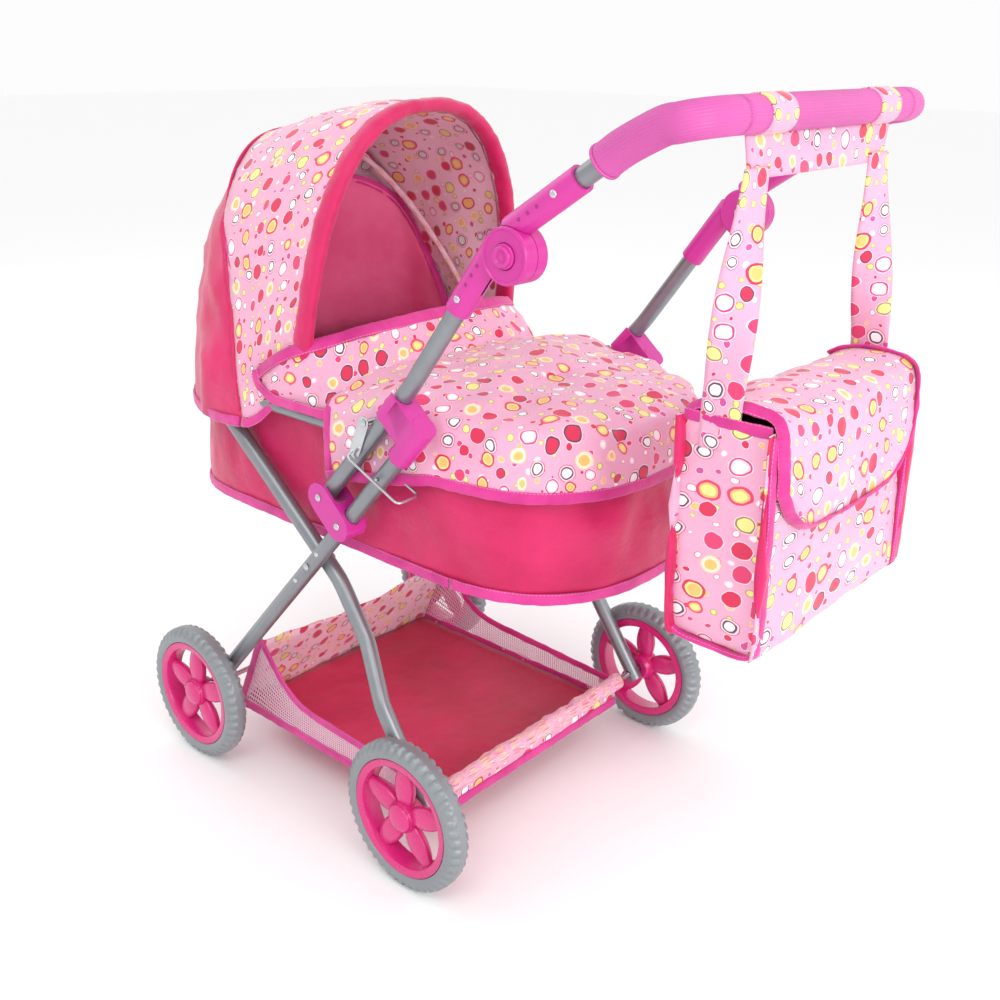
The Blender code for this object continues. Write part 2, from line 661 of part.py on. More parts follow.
def upper_connector(side, sign, mat):
    x = sign * FRAME_X
    base = HANDLE_JOINT + ABOVE_ARM * JOINT_OFFSET
    start = base + ALONG_ARM * SOCKET_END_GAP
    end = base + ALONG_ARM * UPPER_SOCKET_LENGTH
    spans = (FRAME_X - TOUCH_GAP, FRAME_X - JOINT_HALF_WIDTH), (FRAME_X - 0.0001, FRAME_X + 0.03)
    bore_start = end - ALONG_ARM * (TUBE_IN_SOCKET + RUN_GAP)
    bore = at_x(bore_start, x), at_x(end + ALONG_ARM * 0.01, x)
    name = f"upper_connector_{side}"
    body = turned(name, [(spans[0][0], 0.0), (spans[0][0], JOINT_RADIUS), (spans[0][1] + 0.0012, JOINT_RADIUS),
                         (spans[0][1], JOINT_RADIUS - 0.0012), (spans[0][1], 0.0)], HANDLE_JOINT, mat, 32, sign=sign)
    fuse(body, rod_along("socket", at_x(start, x), at_x(end, x), CONNECTOR_RADIUS, mat, 16))
    room = rod_x("room", HANDLE_JOINT, JOINT_RADIUS + RUN_GAP, spans[1][0], spans[1][1], None, sign, 32)
    hollow = rod_along("hollow", bore[0], bore[1], TUBE_RADIUS + TOUCH_GAP, None)
    pin_hole = hole_x(HANDLE_JOINT, AXLE_RADIUS + RUN_GAP, FRAME_X - 0.03, FRAME_X + 0.03, sign)
    return cut(body, room, hollow, pin_hole)


def joint_pin(side, sign, mat):
    """The stud that the two halves of the angle joint turn on."""
    face = FRAME_X - JOINT_HALF_WIDTH - TOUCH_GAP
    profile = [(face - 0.002, 0.0), (face - 0.002, 0.0055), (face, 0.006), (face, AXLE_RADIUS),
               (FRAME_X + 0.0036, AXLE_RADIUS), (FRAME_X + 0.0036, 0.0)]
    return turned(f"joint_pin_{side}", profile, HANDLE_JOINT, mat, 16, sign=sign)


def angle_button(side, sign, mat):
    """Round push button with a finger dimple."""
    back = FRAME_X + 0.0065
    face = FRAME_X + JOINT_HALF_WIDTH + BUTTON_PROUD
    profile = [(back, 0.0), (back, BUTTON_RADIUS), (face - 0.001, BUTTON_RADIUS), (face, BUTTON_RADIUS - 0.001),
               (face, 0.0045), (face - 0.0012, 0.0028), (face - 0.0016, 0.0)]
    return turned(f"angle_button_{side}", profile, HANDLE_JOINT, mat, 20, sign=sign)


def button_spring(side, sign, mat):
    """A short coil spring behind the button."""
    turns = 3
    steps = 8
    coil = 0.0062
    first = FRAME_X + 0.0032
    length = 0.0026
    path = []
    for k in range(turns * steps + 1):
        a = 2 * math.pi * k / steps
        x = first + length * k / (turns * steps)
        y = HANDLE_JOINT.y + coil * math.cos(a)
        path.append(Vector((sign * x, y, HANDLE_JOINT.z + coil * math.sin(a))))
    return tube(f"button_spring_{side}", path, 0.00035, mat, sides=3)


def handle_path(start):
    """The push handle's centre line, from one side arm round the bar to the other."""
    arm = HANDLE_JOINT + ABOVE_ARM * JOINT_OFFSET
    side_points = [arm + ALONG_ARM * start, arm + ALONG_ARM * (BAR_REACH - 0.006), BAR]
    near = [at_x(p, FRAME_X) for p in side_points]
    far = [at_x(p, -FRAME_X) for p in reversed(side_points)]
    return rounded_path(near + far, HANDLE_CORNER, 3)


def push_handle(mat):
    path = handle_path(UPPER_SOCKET_LENGTH - TUBE_IN_SOCKET)
    return tube("push_handle_tube", path, TUBE_RADIUS, mat, TUBE_RADIUS - TUBE_WALL)


def handle_grip(mat):
    return tube("handle_grip", handle_path(GRIP_START), GRIP_RADIUS, mat, TUBE_RADIUS + TOUCH_GAP)


# ---------------------------------------------------------------- cot
def cot_outline(inset, z, front=None, rear=None, steps=10):
    """The cot's plan: straight sides with full round ends."""
    front = COT_FRONT if front is None else front
    rear = COT_REAR if rear is None else rear
    half = COT_HALF_WIDTH - inset
    depth = COT_END_DEPTH - inset
    power = 2.0 / 2.4
    outline = []
    for y_mid, sense in ((rear - inset - depth, 1.0), (front + inset + depth, -1.0)):
        for k in range(steps + 1):
            a = math.pi * k / steps
            x = sense * half * math.copysign(abs(math.cos(a)) ** power, math.cos(a))
            y = y_mid + sense * depth * abs(math.sin(a)) ** power
            outline.append(Vector((x, y, z)))
    return outline


def cot_shell(mat):
    """The hanging fabric tub, open at the top."""
    rings = [
        cot_outline(0.006, COT_FLOOR), cot_outline(0.0, COT_FLOOR + 0.012), cot_outline(0.0, COT_TOP),
        cot_outline(COT_WALL, COT_TOP), cot_outline(COT_WALL, COT_FLOOR + COT_WALL + 0.008),
        cot_outline(COT_WALL + 0.006, COT_FLOOR + COT_WALL),
    ]
    return tub("cot_shell", rings, mat)


def base_board(mat):
    """The stiff board that lies on the tub's floor."""
    low = COT_FLOOR + COT_WALL + TOUCH_GAP
    inset = COT_WALL + 0.008
    rings = [cot_outline(inset, low, steps=8), cot_outline(inset, low + BOARD_THICKNESS, steps=8)]
    return tub("base_board", rings, mat)


def hem_wire(mat):
    """The closed wire in the tub's top hem."""
    path = cot_outline(HEM_WIRE_RADIUS, COT_TOP + HEM_WIRE_RADIUS + TOUCH_GAP)
    return tube("hem_wire", path, HEM_WIRE_RADIUS, mat, sides=6, closed=True)


def cot_rail(side, sign, mat):
    """Side tube of the cot with a flat eye for the rear pivot."""
    x = sign * RAIL_X
    end = Vector((x, COT_PIVOT.y - 0.010, RAIL_Z))
    path = [Vector((x, COT_PIVOT.y - RAIL_AHEAD, RAIL_Z)), end]
    rail = tube(f"cot_rail_{side}", path, RAIL_RADIUS, mat, RAIL_RADIUS - TUBE_WALL)
    eye = plate_x("eye", stadium(Vector((0.0, end.y - 0.004, RAIL_Z)), COT_PIVOT, 0.0052, 5),
                  RAIL_X - 0.0015, RAIL_X + 0.0015, mat, sign)
    fuse(rail, eye)
    return cut(rail, hole_x(COT_PIVOT, PIN_RADIUS + TOUCH_GAP, RAIL_X - 0.01, RAIL_X + 0.01, sign))


def apron(mat):
    """The padded foot cover: a low dome over the rear of the cot with a raised wind flap in front."""
    thickness = 0.003
    narrow = MIDDLE_BOW_X - BOW_RADIUS - 0.0025
    wide = HINGE_PLATE_X - 0.0045
    edge = COT_TOP + 0.020
    inside = COT_TOP + 2 * HEM_WIRE_RADIUS + 0.002
    skirt = COT_TOP - APRON_SKIRT
    rear = COT_REAR + 0.0065
    depth = COT_END_DEPTH
    start = HOOD_PIVOT.y - 0.050
    stations = [
        (start, narrow, edge + 0.015, inside, FLAP_RISE - 0.015),
        (start + 0.040, narrow, edge + 0.010, inside, FLAP_RISE - 0.028),
        (start + 0.085, narrow, edge + 0.002, inside, APRON_CROWN - 0.004),
        (start + 0.112, narrow, edge, inside, APRON_CROWN - 0.008),
        (start + 0.120, wide, edge, inside, APRON_CROWN - 0.010),
        (start + 0.126, wide, edge, skirt, APRON_CROWN - 0.010),
    ]
    power = 2.0 / 2.4
    for degrees in (0, 20, 36, 50, 62, 72, 80):
        a = math.radians(degrees)
        y = rear - depth + depth * math.sin(a) ** power
        half = wide * math.cos(a) ** power
        stations.append((y, half, edge, skirt, (APRON_CROWN - 0.010) * math.cos(a)))
    grid = []
    for y, half, z_edge, z_low, crown in stations:
        row = [Vector((half, y, z_low))]
        for k in range(9):
            u = 1.0 - k / 4
            row.append(Vector((half * u, y, z_edge + crown * (1.0 - u * u))))
        row.append(Vector((-half, y, z_low)))
        grid.append(row)
    last = grid[-1]
    grid.append([Vector((p.x, rear, edge)) for p in last])
    grid[-1][0].z = skirt
    grid[-1][-1].z = skirt
    grid.append([Vector((p.x, rear + 0.0005, skirt)) for p in last])
    return shell("apron", grid, thickness, mat)


# ---------------------------------------------------------------- hood
def arch_point(half, height, base, y, lean, a, squareness=HOOD_SQUARENESS):
    """A point on a square-shouldered arch; a runs from 0 on the left to pi on the right."""
    power = 2.0 / squareness
    x = half * math.copysign(abs(math.cos(a)) ** power, math.cos(a))
    up = abs(math.sin(a)) ** power
    return Vector((x, y + lean * up, base + height * up))


def hood_arch(t, steps=16):
    """Arches from the rim at t = 0 to the seam at t = 1."""
    base = HOOD_EDGE
    full = HOOD_PIVOT.z + HOOD_HEIGHT - base
    height = full - HOOD_SEAM_DROP * t * t
    half = HOOD_HALF_WIDTH - 0.004 * t
    y = HOOD_PIVOT.y + (HOOD_SEAM_Y - HOOD_PIVOT.y) * t
    lean = HOOD_RIM_LEAN + (HOOD_SEAM_LEAN - HOOD_RIM_LEAN) * t
    return [arch_point(half, height, base, y, lean, math.pi * k / steps) for k in range(steps + 1)]


def hood_canopy(mat):
    """The printed front part of the hood, rim to seam."""
    return shell("hood_canopy", [hood_arch(k / 5) for k in range(6)], HOOD_WALL, mat)


def hood_back(mat):
    """The plain back panel, from the seam down round the cot's head end."""
    steps = 16
    seam = hood_arch(1.0, steps)
    out = 0.0035
    skirt = COT_TOP - HOOD_SKIRT
    power = 2.0 / 2.4
    half = COT_HALF_WIDTH + out
    y_mid = COT_FRONT + COT_END_DEPTH
    foot = []
    for k in range(steps + 1):
        a = math.pi * k / steps
        x = half * math.copysign(abs(math.cos(a)) ** power, math.cos(a))
        y = min(y_mid - (COT_END_DEPTH + out) * abs(math.sin(a)) ** power, HOOD_SEAM_Y - 0.002)
        foot.append(Vector((x, y, skirt)))
    rows = 6
    grid = []
    for i in range(rows + 1):
        t = i / rows
        row = []
        for k in range(steps + 1):
            a = math.pi * k / steps
            point = seam[k].lerp(foot[k], t)
            point.y -= 0.0055 * (1.0 - t) + HOOD_BULGE * math.sin(math.pi * t) * math.sin(a)
            point.z += 0.016 * math.sin(math.pi * t) * math.sin(a)
            row.append(point)
        grid.append(row)
    return shell("hood_back", grid, HOOD_WALL, mat)


def bow(name, x, lean, length, mat):
    """A wire arch that turns on the hood's pivots; lean is its slope away from upright."""
    along = Vector((0.0, -math.sin(lean), math.cos(lean)))
    power = 2.0 / HOOD_SQUARENESS
    path = [at_x(HOOD_PIVOT + along * BOW_FOOT, x)]
    steps = 16
    for k in range(1, steps):
        a = math.pi * k / steps
        across = x * math.copysign(abs(math.cos(a)) ** power, math.cos(a))
        path.append(at_x(HOOD_PIVOT + along * (length * abs(math.sin(a)) ** power), across))
    path.append(at_x(HOOD_PIVOT + along * BOW_FOOT, -x))
    return tube(name, path, BOW_RADIUS, mat, sides=6)


def front_bow(mat):
    lean = -math.atan2(HOOD_RIM_LEAN - 0.008, HOOD_HEIGHT)
    return bow("hood_front_bow", BOW_X, lean, HOOD_HEIGHT - HOOD_WALL - SIDE_GAP - BOW_RADIUS, mat)


def middle_bow(mat):
    ahead = HOOD_SEAM_AHEAD - HOOD_SEAM_LEAN
    up = HOOD_HEIGHT - HOOD_SEAM_DROP
    lean = math.atan2(ahead, up)
    length = math.hypot(ahead, up) - HOOD_WALL - 4 * BOW_RADIUS
    return bow("hood_middle_bow", MIDDLE_BOW_X, lean, length, mat)


def hood_hinge(side, sign, mat):
    """A round plate on the rail with the stud that both bows turn round."""
    plate = HINGE_PLATE_X - HINGE_THICKNESS
    tip = MIDDLE_BOW_X - BOW_RADIUS - 0.0005
    stud = 0.0018
    profile = [(HINGE_PLATE_X, 0.0), (HINGE_PLATE_X, HINGE_RADIUS), (plate, HINGE_RADIUS), (plate, stud),
               (tip, stud), (tip, 0.0)]
    return turned(f"hood_hinge_{side}", profile, HOOD_PIVOT, mat, 16, sign=sign)


# ---------------------------------------------------------------- basket
def basket_outline(inset, level):
    """Basket plan with short steps along its sides; level says how far up the walls it lies."""
    half = COT_HALF_WIDTH + 0.008 - inset
    front = FRONT_AXLE.y + AXLE_RADIUS + 0.006 + inset
    rear = REAR_AXLE.y - AXLE_RADIUS - 0.003 - inset
    steps = 6
    outline = []

    def add(x, y):
        back = (y - front) / (rear - front)
        side = BASKET_SIDE_HEIGHT - (BASKET_SIDE_HEIGHT - BASKET_REAR_HEIGHT) * back
        height = side + (BASKET_FRONT_HEIGHT - side) * max(0.0, 1.0 - back / 0.4) ** 1.6
        lean = 0.040 * max(0.0, 1.0 - back / 0.3) * level
        outline.append(Vector((x, y + lean, BASKET_FLOOR + level * height + (1.0 - level) * inset)))

    for k in range(steps):
        add(half, front + (rear - front) * k / steps)
    for k in range(steps):
        add(half - 2 * half * k / steps, rear)
    for k in range(steps):
        add(-half, rear - (rear - front) * k / steps)
    for k in range(steps):
        add(-half + 2 * half * k / steps, front)
    return outline


def basket(mat):
    """A shallow fabric tray hung between the axles, open at the top."""
    rings = [basket_outline(0.0, 0.0), basket_outline(0.0, 1.0),
             basket_outline(BASKET_WALL, 1.0), basket_outline(BASKET_WALL, 0.0)]
    return tub("basket", rings, mat)


# ---------------------------------------------------------------- bag
def rounded_box(half, front, rear, z, corner, steps=3):
    """A rectangle with round corners at height z."""
    outline = []
    centres = ((half - corner, rear - corner, 0), (-half + corner, rear - corner, 1),
               (-half + corner, front + corner, 2), (half - corner, front + corner, 3))
    for x, y, quarter in centres:
        for k in range(steps + 1):
            a = math.pi / 2 * (quarter + k / steps)
            outline.append(Vector((x + corner * math.cos(a), y + corner * math.sin(a), z)))
    return outline


def bag_body(mat):
    """The soft box of the bag, open at the top."""
    half = BAG_WIDTH / 2
    low = BAG_TOP - BAG_HEIGHT
    wall = BAG_WALL
    corner = 0.010
    rings = [
        rounded_box(half - 0.006, BAG_FRONT + 0.005, BAG_REAR - 0.005, low, corner),
        rounded_box(half, BAG_FRONT, BAG_REAR, low + 0.010, corner),
        rounded_box(half, BAG_FRONT, BAG_REAR, BAG_TOP, corner),
        rounded_box(half - wall, BAG_FRONT + wall, BAG_REAR - wall, BAG_TOP, corner - wall),
        rounded_box(half - wall, BAG_FRONT + wall, BAG_REAR - wall, low + 0.010, corner - wall),
        rounded_box(half - 0.008, BAG_FRONT + 0.007, BAG_REAR - 0.007, low + wall, corner - wall),
    ]
    return tub("bag_body", rings, mat)


def bag_flap(mat):
    """The cover sheet, from the front edge over the top and down the rear face."""
    half = BAG_WIDTH / 2 - 0.007
    top = BAG_TOP + 0.004
    line = [
        (BAG_FRONT + 0.001, top), (BAG_FRONT + 0.012, top + 0.010), (BAG_FRONT + BAG_DEPTH * 0.5, top + 0.015),
        (BAG_REAR - 0.008, top + 0.010), (BAG_REAR + 0.004, top - 0.002),
        (BAG_REAR + 0.0055, BAG_TOP - FLAP_LENGTH * 0.5), (BAG_REAR + 0.0055, BAG_TOP - FLAP_LENGTH),
    ]
    grid = []
    for i, (y, z) in enumerate(line):
        row = []
        for k in range(9):
            u = 1.0 - k / 4
            drop = 0.022 * abs(u) ** 3 if i == len(line) - 1 else 0.0
            row.append(Vector((half * u, y, z + drop)))
        grid.append(row)
    return shell("bag_flap", grid, 0.002, mat)


def bag_strap(mat):
    """Two loops round the bar, the yoke under it and a strap down to each side of the bag."""
    hold = GRIP_RADIUS + 0.0006
    thick = STRAP_THICKNESS
    yoke_top = BAR.z - hold - thick * 0.4
    yoke_low = yoke_top - YOKE_HEIGHT
    yoke_half = LOOP_SPACING / 2 + 0.028
    mid_y = BAR.y
    corners = [(mid_y - thick / 2, yoke_low), (mid_y + thick / 2, yoke_low), (mid_y + thick / 2, yoke_top),
               (mid_y - thick / 2, yoke_top)]
    yoke = plate_x("bag_strap", [Vector((0.0, y, z)) for y, z in corners], -yoke_half, yoke_half, mat)
    for _, sign in SIDES:
        x0 = LOOP_SPACING / 2 - LOOP_WIDTH / 2
        x1 = x0 + LOOP_WIDTH
        profile = [(x0, hold), (x1, hold), (x1, hold + thick), (x0, hold + thick)]
        fuse(yoke, turned("loop", profile, BAR, mat, 20, ring=True, sign=sign))
        first = Vector((yoke_half - STRAP_WIDTH / 2 - 0.0007, mid_y + 0.0004, yoke_low + 0.008))
        last_x = BAG_WIDTH / 2 + TOUCH_GAP + thick / 2
        last = Vector((last_x, BAG_FRONT + BAG_DEPTH * 0.42, BAG_TOP - 0.020))
        rings = []
        steps = 6
        for k in range(steps + 1):
            t = k / steps
            ease = t * t * (3 - 2 * t)
            centre = Vector((first.x + (last.x - first.x) * min(1.0, t * 1.25),
                             first.y + (last.y - first.y) * t, first.z + (last.z - first.z) * t))
            turn = math.pi / 2 * min(1.0, ease * 1.15)
            wide = Vector((math.cos(turn), math.sin(turn), 0.0)) * (STRAP_WIDTH / 2)
            flat = Vector((-math.sin(turn), math.cos(turn), 0.0)) * (thick / 2)
            ring = [centre + wide + flat, centre - wide + flat, centre - wide - flat, centre + wide - flat]
            rings.append([Vector((sign * p.x, p.y, p.z)) for p in ring])
        fuse(yoke, tub("strap", rings, mat))
    return yoke


# ---------------------------------------------------------------- assembly
def joint_empty(name, place, parent=None):
    """An empty on a joint's axis; everything that turns with the joint is its child."""
    empty = bpy.data.objects.new(name, None)
    bpy.context.scene.collection.objects.link(empty)
    empty.location = place
    if parent is not None:
        attach(empty, parent)
    return empty


def attach(obj, parent):
    """Parent without moving the child."""
    bpy.context.view_layer.update()
    obj.parent = parent
    obj.matrix_parent_inverse = parent.matrix_world.inverted()


def centre_on_ground(root):
    """Shift the whole stroller along Y so that its bounding box is centred on the origin."""
    bpy.context.view_layer.update()
    low = math.inf
    high = -math.inf
    for obj in bpy.context.scene.objects:
        if obj.type != "MESH":
            continue
        for vertex in obj.data.vertices:
            y = (obj.matrix_world @ vertex.co).y
            low = min(low, y)
            high = max(high, y)
    root.location.y = -(low + high) / 2
    bpy.context.view_layer.update()
    print(f"bounding box centre moved by {root.location.y:.6f} m along Y")


def main():
    for obj in list(bpy.data.objects):
        bpy.data.objects.remove(obj)

    steel = material("grey_tube", (0.42, 0.44, 0.46), 0.35, 0.6)
    zinc = material("bright_steel", (0.75, 0.76, 0.78), 0.25, 1.0)
    purple = material("purple_plastic", (0.62, 0.06, 0.36), 0.35)
    pink = material("pink_grip", (0.72, 0.12, 0.42), 0.5)
    wheel_pink = material("wheel_pink", (0.68, 0.05, 0.24), 0.35)
    tyre_grey = material("tyre_grey", (0.32, 0.34, 0.34), 0.55)
    hot_pink = material("hot_pink_fabric", (0.75, 0.03, 0.18), 0.8)
    printed = material("printed_fabric", (0.85, 0.50, 0.58), 0.8)
    board = material("board", (0.60, 0.45, 0.30), 0.8)

    root = joint_empty("stroller", Vector())
    empties = {"front_frame": joint_empty("body_front_frame", Vector(), root)}
    tree = (
        ("rear_legs", CROSS_PIVOT, "front_frame"),
        ("lower_handle", FOLD_PIVOT, "front_frame"),
        ("upper_handle", HANDLE_JOINT, "lower_handle"),
        ("bag", BAR, "upper_handle"),
        ("bag_cover", Vector((0.0, BAG_FRONT, BAG_TOP)), "bag"),
        ("cot", COT_PIVOT, "lower_handle"),
        ("hood_middle", HOOD_PIVOT, "cot"),
        ("hood_front", HOOD_PIVOT, "hood_middle"),
    )
    for name, place, parent in tree:
        empties[name] = joint_empty(f"body_{name}", place, empties[parent])

    members = {name: [] for name in empties}
    made = wheels(wheel_pink, tyre_grey)
    for name, pieces in made.items():
        parent = "front_frame" if name.startswith("front") else "rear_legs"
        place = pieces[0].location.copy()
        empties[name] = joint_empty(f"body_{name}", place, empties[parent])
        members[name] = pieces
    members["front_frame"].append(axle("front_axle", FRONT_AXLE, zinc))
    members["rear_legs"].append(axle("rear_axle", REAR_AXLE, zinc))
    members["front_frame"].append(basket(hot_pink))
    for side, sign in SIDES:
        members["front_frame"] += [
            front_leg(side, sign, steel), frame_bracket(side, sign, purple),
            cross_pin(side, sign, zinc), fold_pin(side, sign, zinc),
        ]
        members["rear_legs"].append(rear_leg(side, sign, steel))
        members["lower_handle"] += [
            handle_tube(side, sign, steel), hinge_plate(side, sign, zinc), cot_bolt(side, sign, zinc),
            lower_connector(side, sign, purple), joint_pin(side, sign, zinc), button_spring(side, sign, zinc),
        ]
        members["upper_handle"].append(upper_connector(side, sign, purple))
        members["cot"] += [cot_rail(side, sign, steel), hood_hinge(side, sign, zinc)]
        own = (
            (f"lock_wire_{side}", lock_wire(side, sign, zinc), LATCH_PIVOT, "front_frame"),
            (f"lock_clip_{side}", lock_clip(side, sign, purple), on_leg(CLIP_CAP_START), "front_frame"),
            (f"angle_button_{side}", angle_button(side, sign, purple), HANDLE_JOINT, "lower_handle"),
        )
        for name, piece, place, parent in own:
            empties[name] = joint_empty(f"body_{name}", at_x(place, sign * FRAME_X), empties[parent])
            members[name] = [piece]
    members["upper_handle"] += [push_handle(steel), handle_grip(pink)]
    members["cot"] += [cot_shell(hot_pink), base_board(board), hem_wire(zinc), apron(printed), hood_back(hot_pink)]
    members["hood_middle"].append(middle_bow(zinc))
    members["hood_front"] += [front_bow(zinc), hood_canopy(printed)]
    members["bag"] += [bag_body(printed), bag_strap(printed)]
    members["bag_cover"].append(bag_flap(printed))
    for name, pieces in members.items():
        for piece in pieces:
            attach(piece, empties[name])
    centre_on_ground(root)


main()
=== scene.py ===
"""Looks of a folding doll stroller: sewn hood, cot, foot cover, basket and bag, with moulded
wheels and fittings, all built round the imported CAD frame. Metres, +Z up, +Y to the push handle."""
import json
import math

import bmesh
import bpy
from mathutils import Matrix, Vector, noise
from mathutils.kdtree import KDTree


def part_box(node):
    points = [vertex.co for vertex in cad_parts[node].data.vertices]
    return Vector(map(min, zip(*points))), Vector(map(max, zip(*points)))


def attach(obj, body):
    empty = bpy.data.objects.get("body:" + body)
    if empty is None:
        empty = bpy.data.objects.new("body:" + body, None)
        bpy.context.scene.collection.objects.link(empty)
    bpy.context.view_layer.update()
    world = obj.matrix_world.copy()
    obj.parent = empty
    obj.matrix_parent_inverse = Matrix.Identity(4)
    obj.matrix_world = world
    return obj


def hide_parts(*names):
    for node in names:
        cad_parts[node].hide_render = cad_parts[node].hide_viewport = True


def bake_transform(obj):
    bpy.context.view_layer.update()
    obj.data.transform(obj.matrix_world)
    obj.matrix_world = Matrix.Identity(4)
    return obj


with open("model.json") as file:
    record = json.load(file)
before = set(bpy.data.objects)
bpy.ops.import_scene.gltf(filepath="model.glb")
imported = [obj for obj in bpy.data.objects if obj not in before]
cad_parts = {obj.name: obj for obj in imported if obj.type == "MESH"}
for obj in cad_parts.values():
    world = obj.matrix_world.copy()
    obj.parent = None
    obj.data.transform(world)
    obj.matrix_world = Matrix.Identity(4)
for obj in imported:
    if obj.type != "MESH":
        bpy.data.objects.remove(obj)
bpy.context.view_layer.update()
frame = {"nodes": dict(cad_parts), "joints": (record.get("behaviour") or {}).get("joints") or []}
NODES = frame["nodes"]

# ---------------------------------------------------------------- places taken from the frame
FRONT_AXLE = sum(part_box("front_axle"), Vector()) / 2
REAR_AXLE = sum(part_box("rear_axle"), Vector()) / 2
MID_Y = (FRONT_AXLE.y + REAR_AXLE.y) / 2
JOINT_AT = {joint["name"]: Vector(joint["pos_m"]) for joint in frame["joints"] if "pos_m" in joint}
HOOD_PIVOT = JOINT_AT["hood_fold"]
HANDLE_JOINT = JOINT_AT["handle_angle"]
BAR = JOINT_AT["bag_swing"]
COT_LOW, COT_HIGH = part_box("cot_shell")
WHEEL_X = sum(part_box("front_tyre_left"), Vector()).x / 2
WHEEL_RADIUS = 0.0725
FRAME_X = 0.168
SIDES = (("left", 1.0), ("right", -1.0))

# ---------------------------------------------------------------- sizes of the soft goods
CLOTH = 0.0016
TAPE_WIDTH = 0.0105
TAPE_THICKNESS = 0.0026
COT_HALF = COT_HIGH.x
COT_ROUND_DEPTH = 0.140
COT_ROUND_POWER = 2.0 / 2.4
HOOD_HALF = 0.1473
HOOD_EDGE_Z = 0.423
HOOD_TOP_Z = HOOD_PIVOT.z + 0.282
HOOD_POWER = 2.0 / 2.5


def at(x, y, z):
    """A point given with y counted from midway between the axles."""
    return Vector((x, y + MID_Y, z))


def route(*places):
    """Points given as at() takes them."""
    return [at(*place) for place in places]


def mirrored(half):
    """A left half with its last point on the centre line, and the same on the right."""
    return half + [Vector((-p.x, p.y, p.z)) for p in reversed(half[:-1])]


def slope(degrees):
    """Directions along and above a tube that rises to the rear."""
    angle = math.radians(degrees)
    return Vector((0.0, math.cos(angle), math.sin(angle))), Vector((0.0, -math.sin(angle), math.cos(angle)))


# ---------------------------------------------------------------- shader helpers
def srgb(red, green, blue):
    """A colour from 0..255 display values to the shader's linear ones."""
    linear = []
    for value in (red, green, blue):
        c = value / 255
        linear.append(c / 12.92 if c <= 0.04045 else ((c + 0.055) / 1.055) ** 2.4)
    return (*linear, 1.0)


class Shader:
    """A material with one Principled BSDF and short calls to add nodes to it."""

    def __init__(self, name, colour, roughness, **sockets):
        self.material = bpy.data.materials.new(name)
        self.material.use_nodes = True
        self.material.diffuse_color = colour
        self.tree = self.material.node_tree
        self.bsdf = self.tree.nodes["Principled BSDF"]
        self.bsdf.inputs["Base Color"].default_value = colour
        self.bsdf.inputs["Roughness"].default_value = roughness
        for socket, value in sockets.items():
            self.bsdf.inputs[socket.replace("_", " ")].default_value = value

    def node(self, kind, links=None, **settings):
        """Add a node; settings name its properties or its sockets, links its linked sockets."""
        made = self.tree.nodes.new(f"ShaderNode{kind}")
        for key, value in settings.items():
            if hasattr(made, key):
                setattr(made, key, value)
            else:
                made.inputs[key.replace("_", " ")].default_value = value
        for key, source in (links or {}).items():
            socket = key if isinstance(key, int) else key.replace("_", " ")
            self.tree.links.new(source, made.inputs[socket])
        return made

    def plug(self, socket, value):
        """Give a socket a fixed value, or link another node's output to it."""
        if isinstance(value, bpy.types.NodeSocket):
            self.tree.links.new(value, socket)
        elif value is not None:
            socket.default_value = value

    def math(self, operation, *values):
        """A Math node on sockets or numbers; gives its output socket."""
        made = self.node("Math", operation=operation)
        for socket, value in zip(made.inputs, values):
            self.plug(socket, value)
        return made.outputs[0]

    def vector(self, operation, first, second=None, scale=None):
        """A Vector Math node; gives a number for LENGTH and a vector otherwise."""
        made = self.node("VectorMath", operation=operation)
        self.plug(made.inputs[0], first)
        self.plug(made.inputs[1], second)
        if scale is not None:
            made.inputs["Scale"].default_value = scale
        return made.outputs["Value" if operation == "LENGTH" else "Vector"]

    def mix(self, factor, first, second):
        """Mix two colours, each a socket or a value."""
        made = self.node("Mix", data_type="RGBA")
        for i, value in ((0, factor), (6, first), (7, second)):
            self.plug(made.inputs[i], value)
        return made.outputs[2]

    def ramp(self, factor, stops, interpolation="LINEAR"):
        """A colour ramp with stops as (place, colour)."""
        made = self.tree.nodes.new("ShaderNodeValToRGB")
        made.color_ramp.interpolation = interpolation
        elements = made.color_ramp.elements
        while len(elements) < len(stops):
            elements.new(0.5)
        for element, (place, colour) in zip(elements, stops):
            element.position = place
            element.color = colour
        self.tree.links.new(factor, made.inputs["Fac"])
        return made.outputs["Color"]

    def noise(self, scale, detail=3.0, space="Object", stretch=None, roughness=0.55):
        """Noise over the object's own coordinates or the cloth's, stretched if asked."""
        vector = self.coordinates(space)
        if stretch is not None:
            vector = self.vector("MULTIPLY", vector, stretch)
        made = self.node("TexNoise", {"Vector": vector}, Scale=scale, Detail=detail, Roughness=roughness)
        return made.outputs["Fac"]

    def coordinates(self, space):
        """The object's own coordinates, or metres along and across the cloth."""
        if space == "Object":
            return self.node("TexCoord").outputs["Object"]
        return self.node("UVMap", uv_map="cloth").outputs["UV"]

    def bump(self, height, distance, strength=1.0, under=None):
        """A surface normal from a height, on top of another normal if given."""
        links = {"Height": height}
        if under is not None:
            links["Normal"] = under
        return self.node("Bump", links, Distance=distance, Strength=strength).outputs["Normal"]

    def set(self, socket, source):
        """Link a node's output to the Principled BSDF."""
        self.tree.links.new(source, self.bsdf.inputs[socket])
        return self

    def weave(self, pitch):
        """Height of a plain weave, threads of the given pitch both ways along the cloth."""
        cloth = self.coordinates("cloth")
        bands = []
        for direction in ("X", "Y"):
            wave = self.node("TexWave", {"Vector": cloth}, wave_type="BANDS", bands_direction=direction,
                             Scale=0.314 / pitch)
            bands.append(wave.outputs["Fac"])
        return self.math("MULTIPLY", *bands)


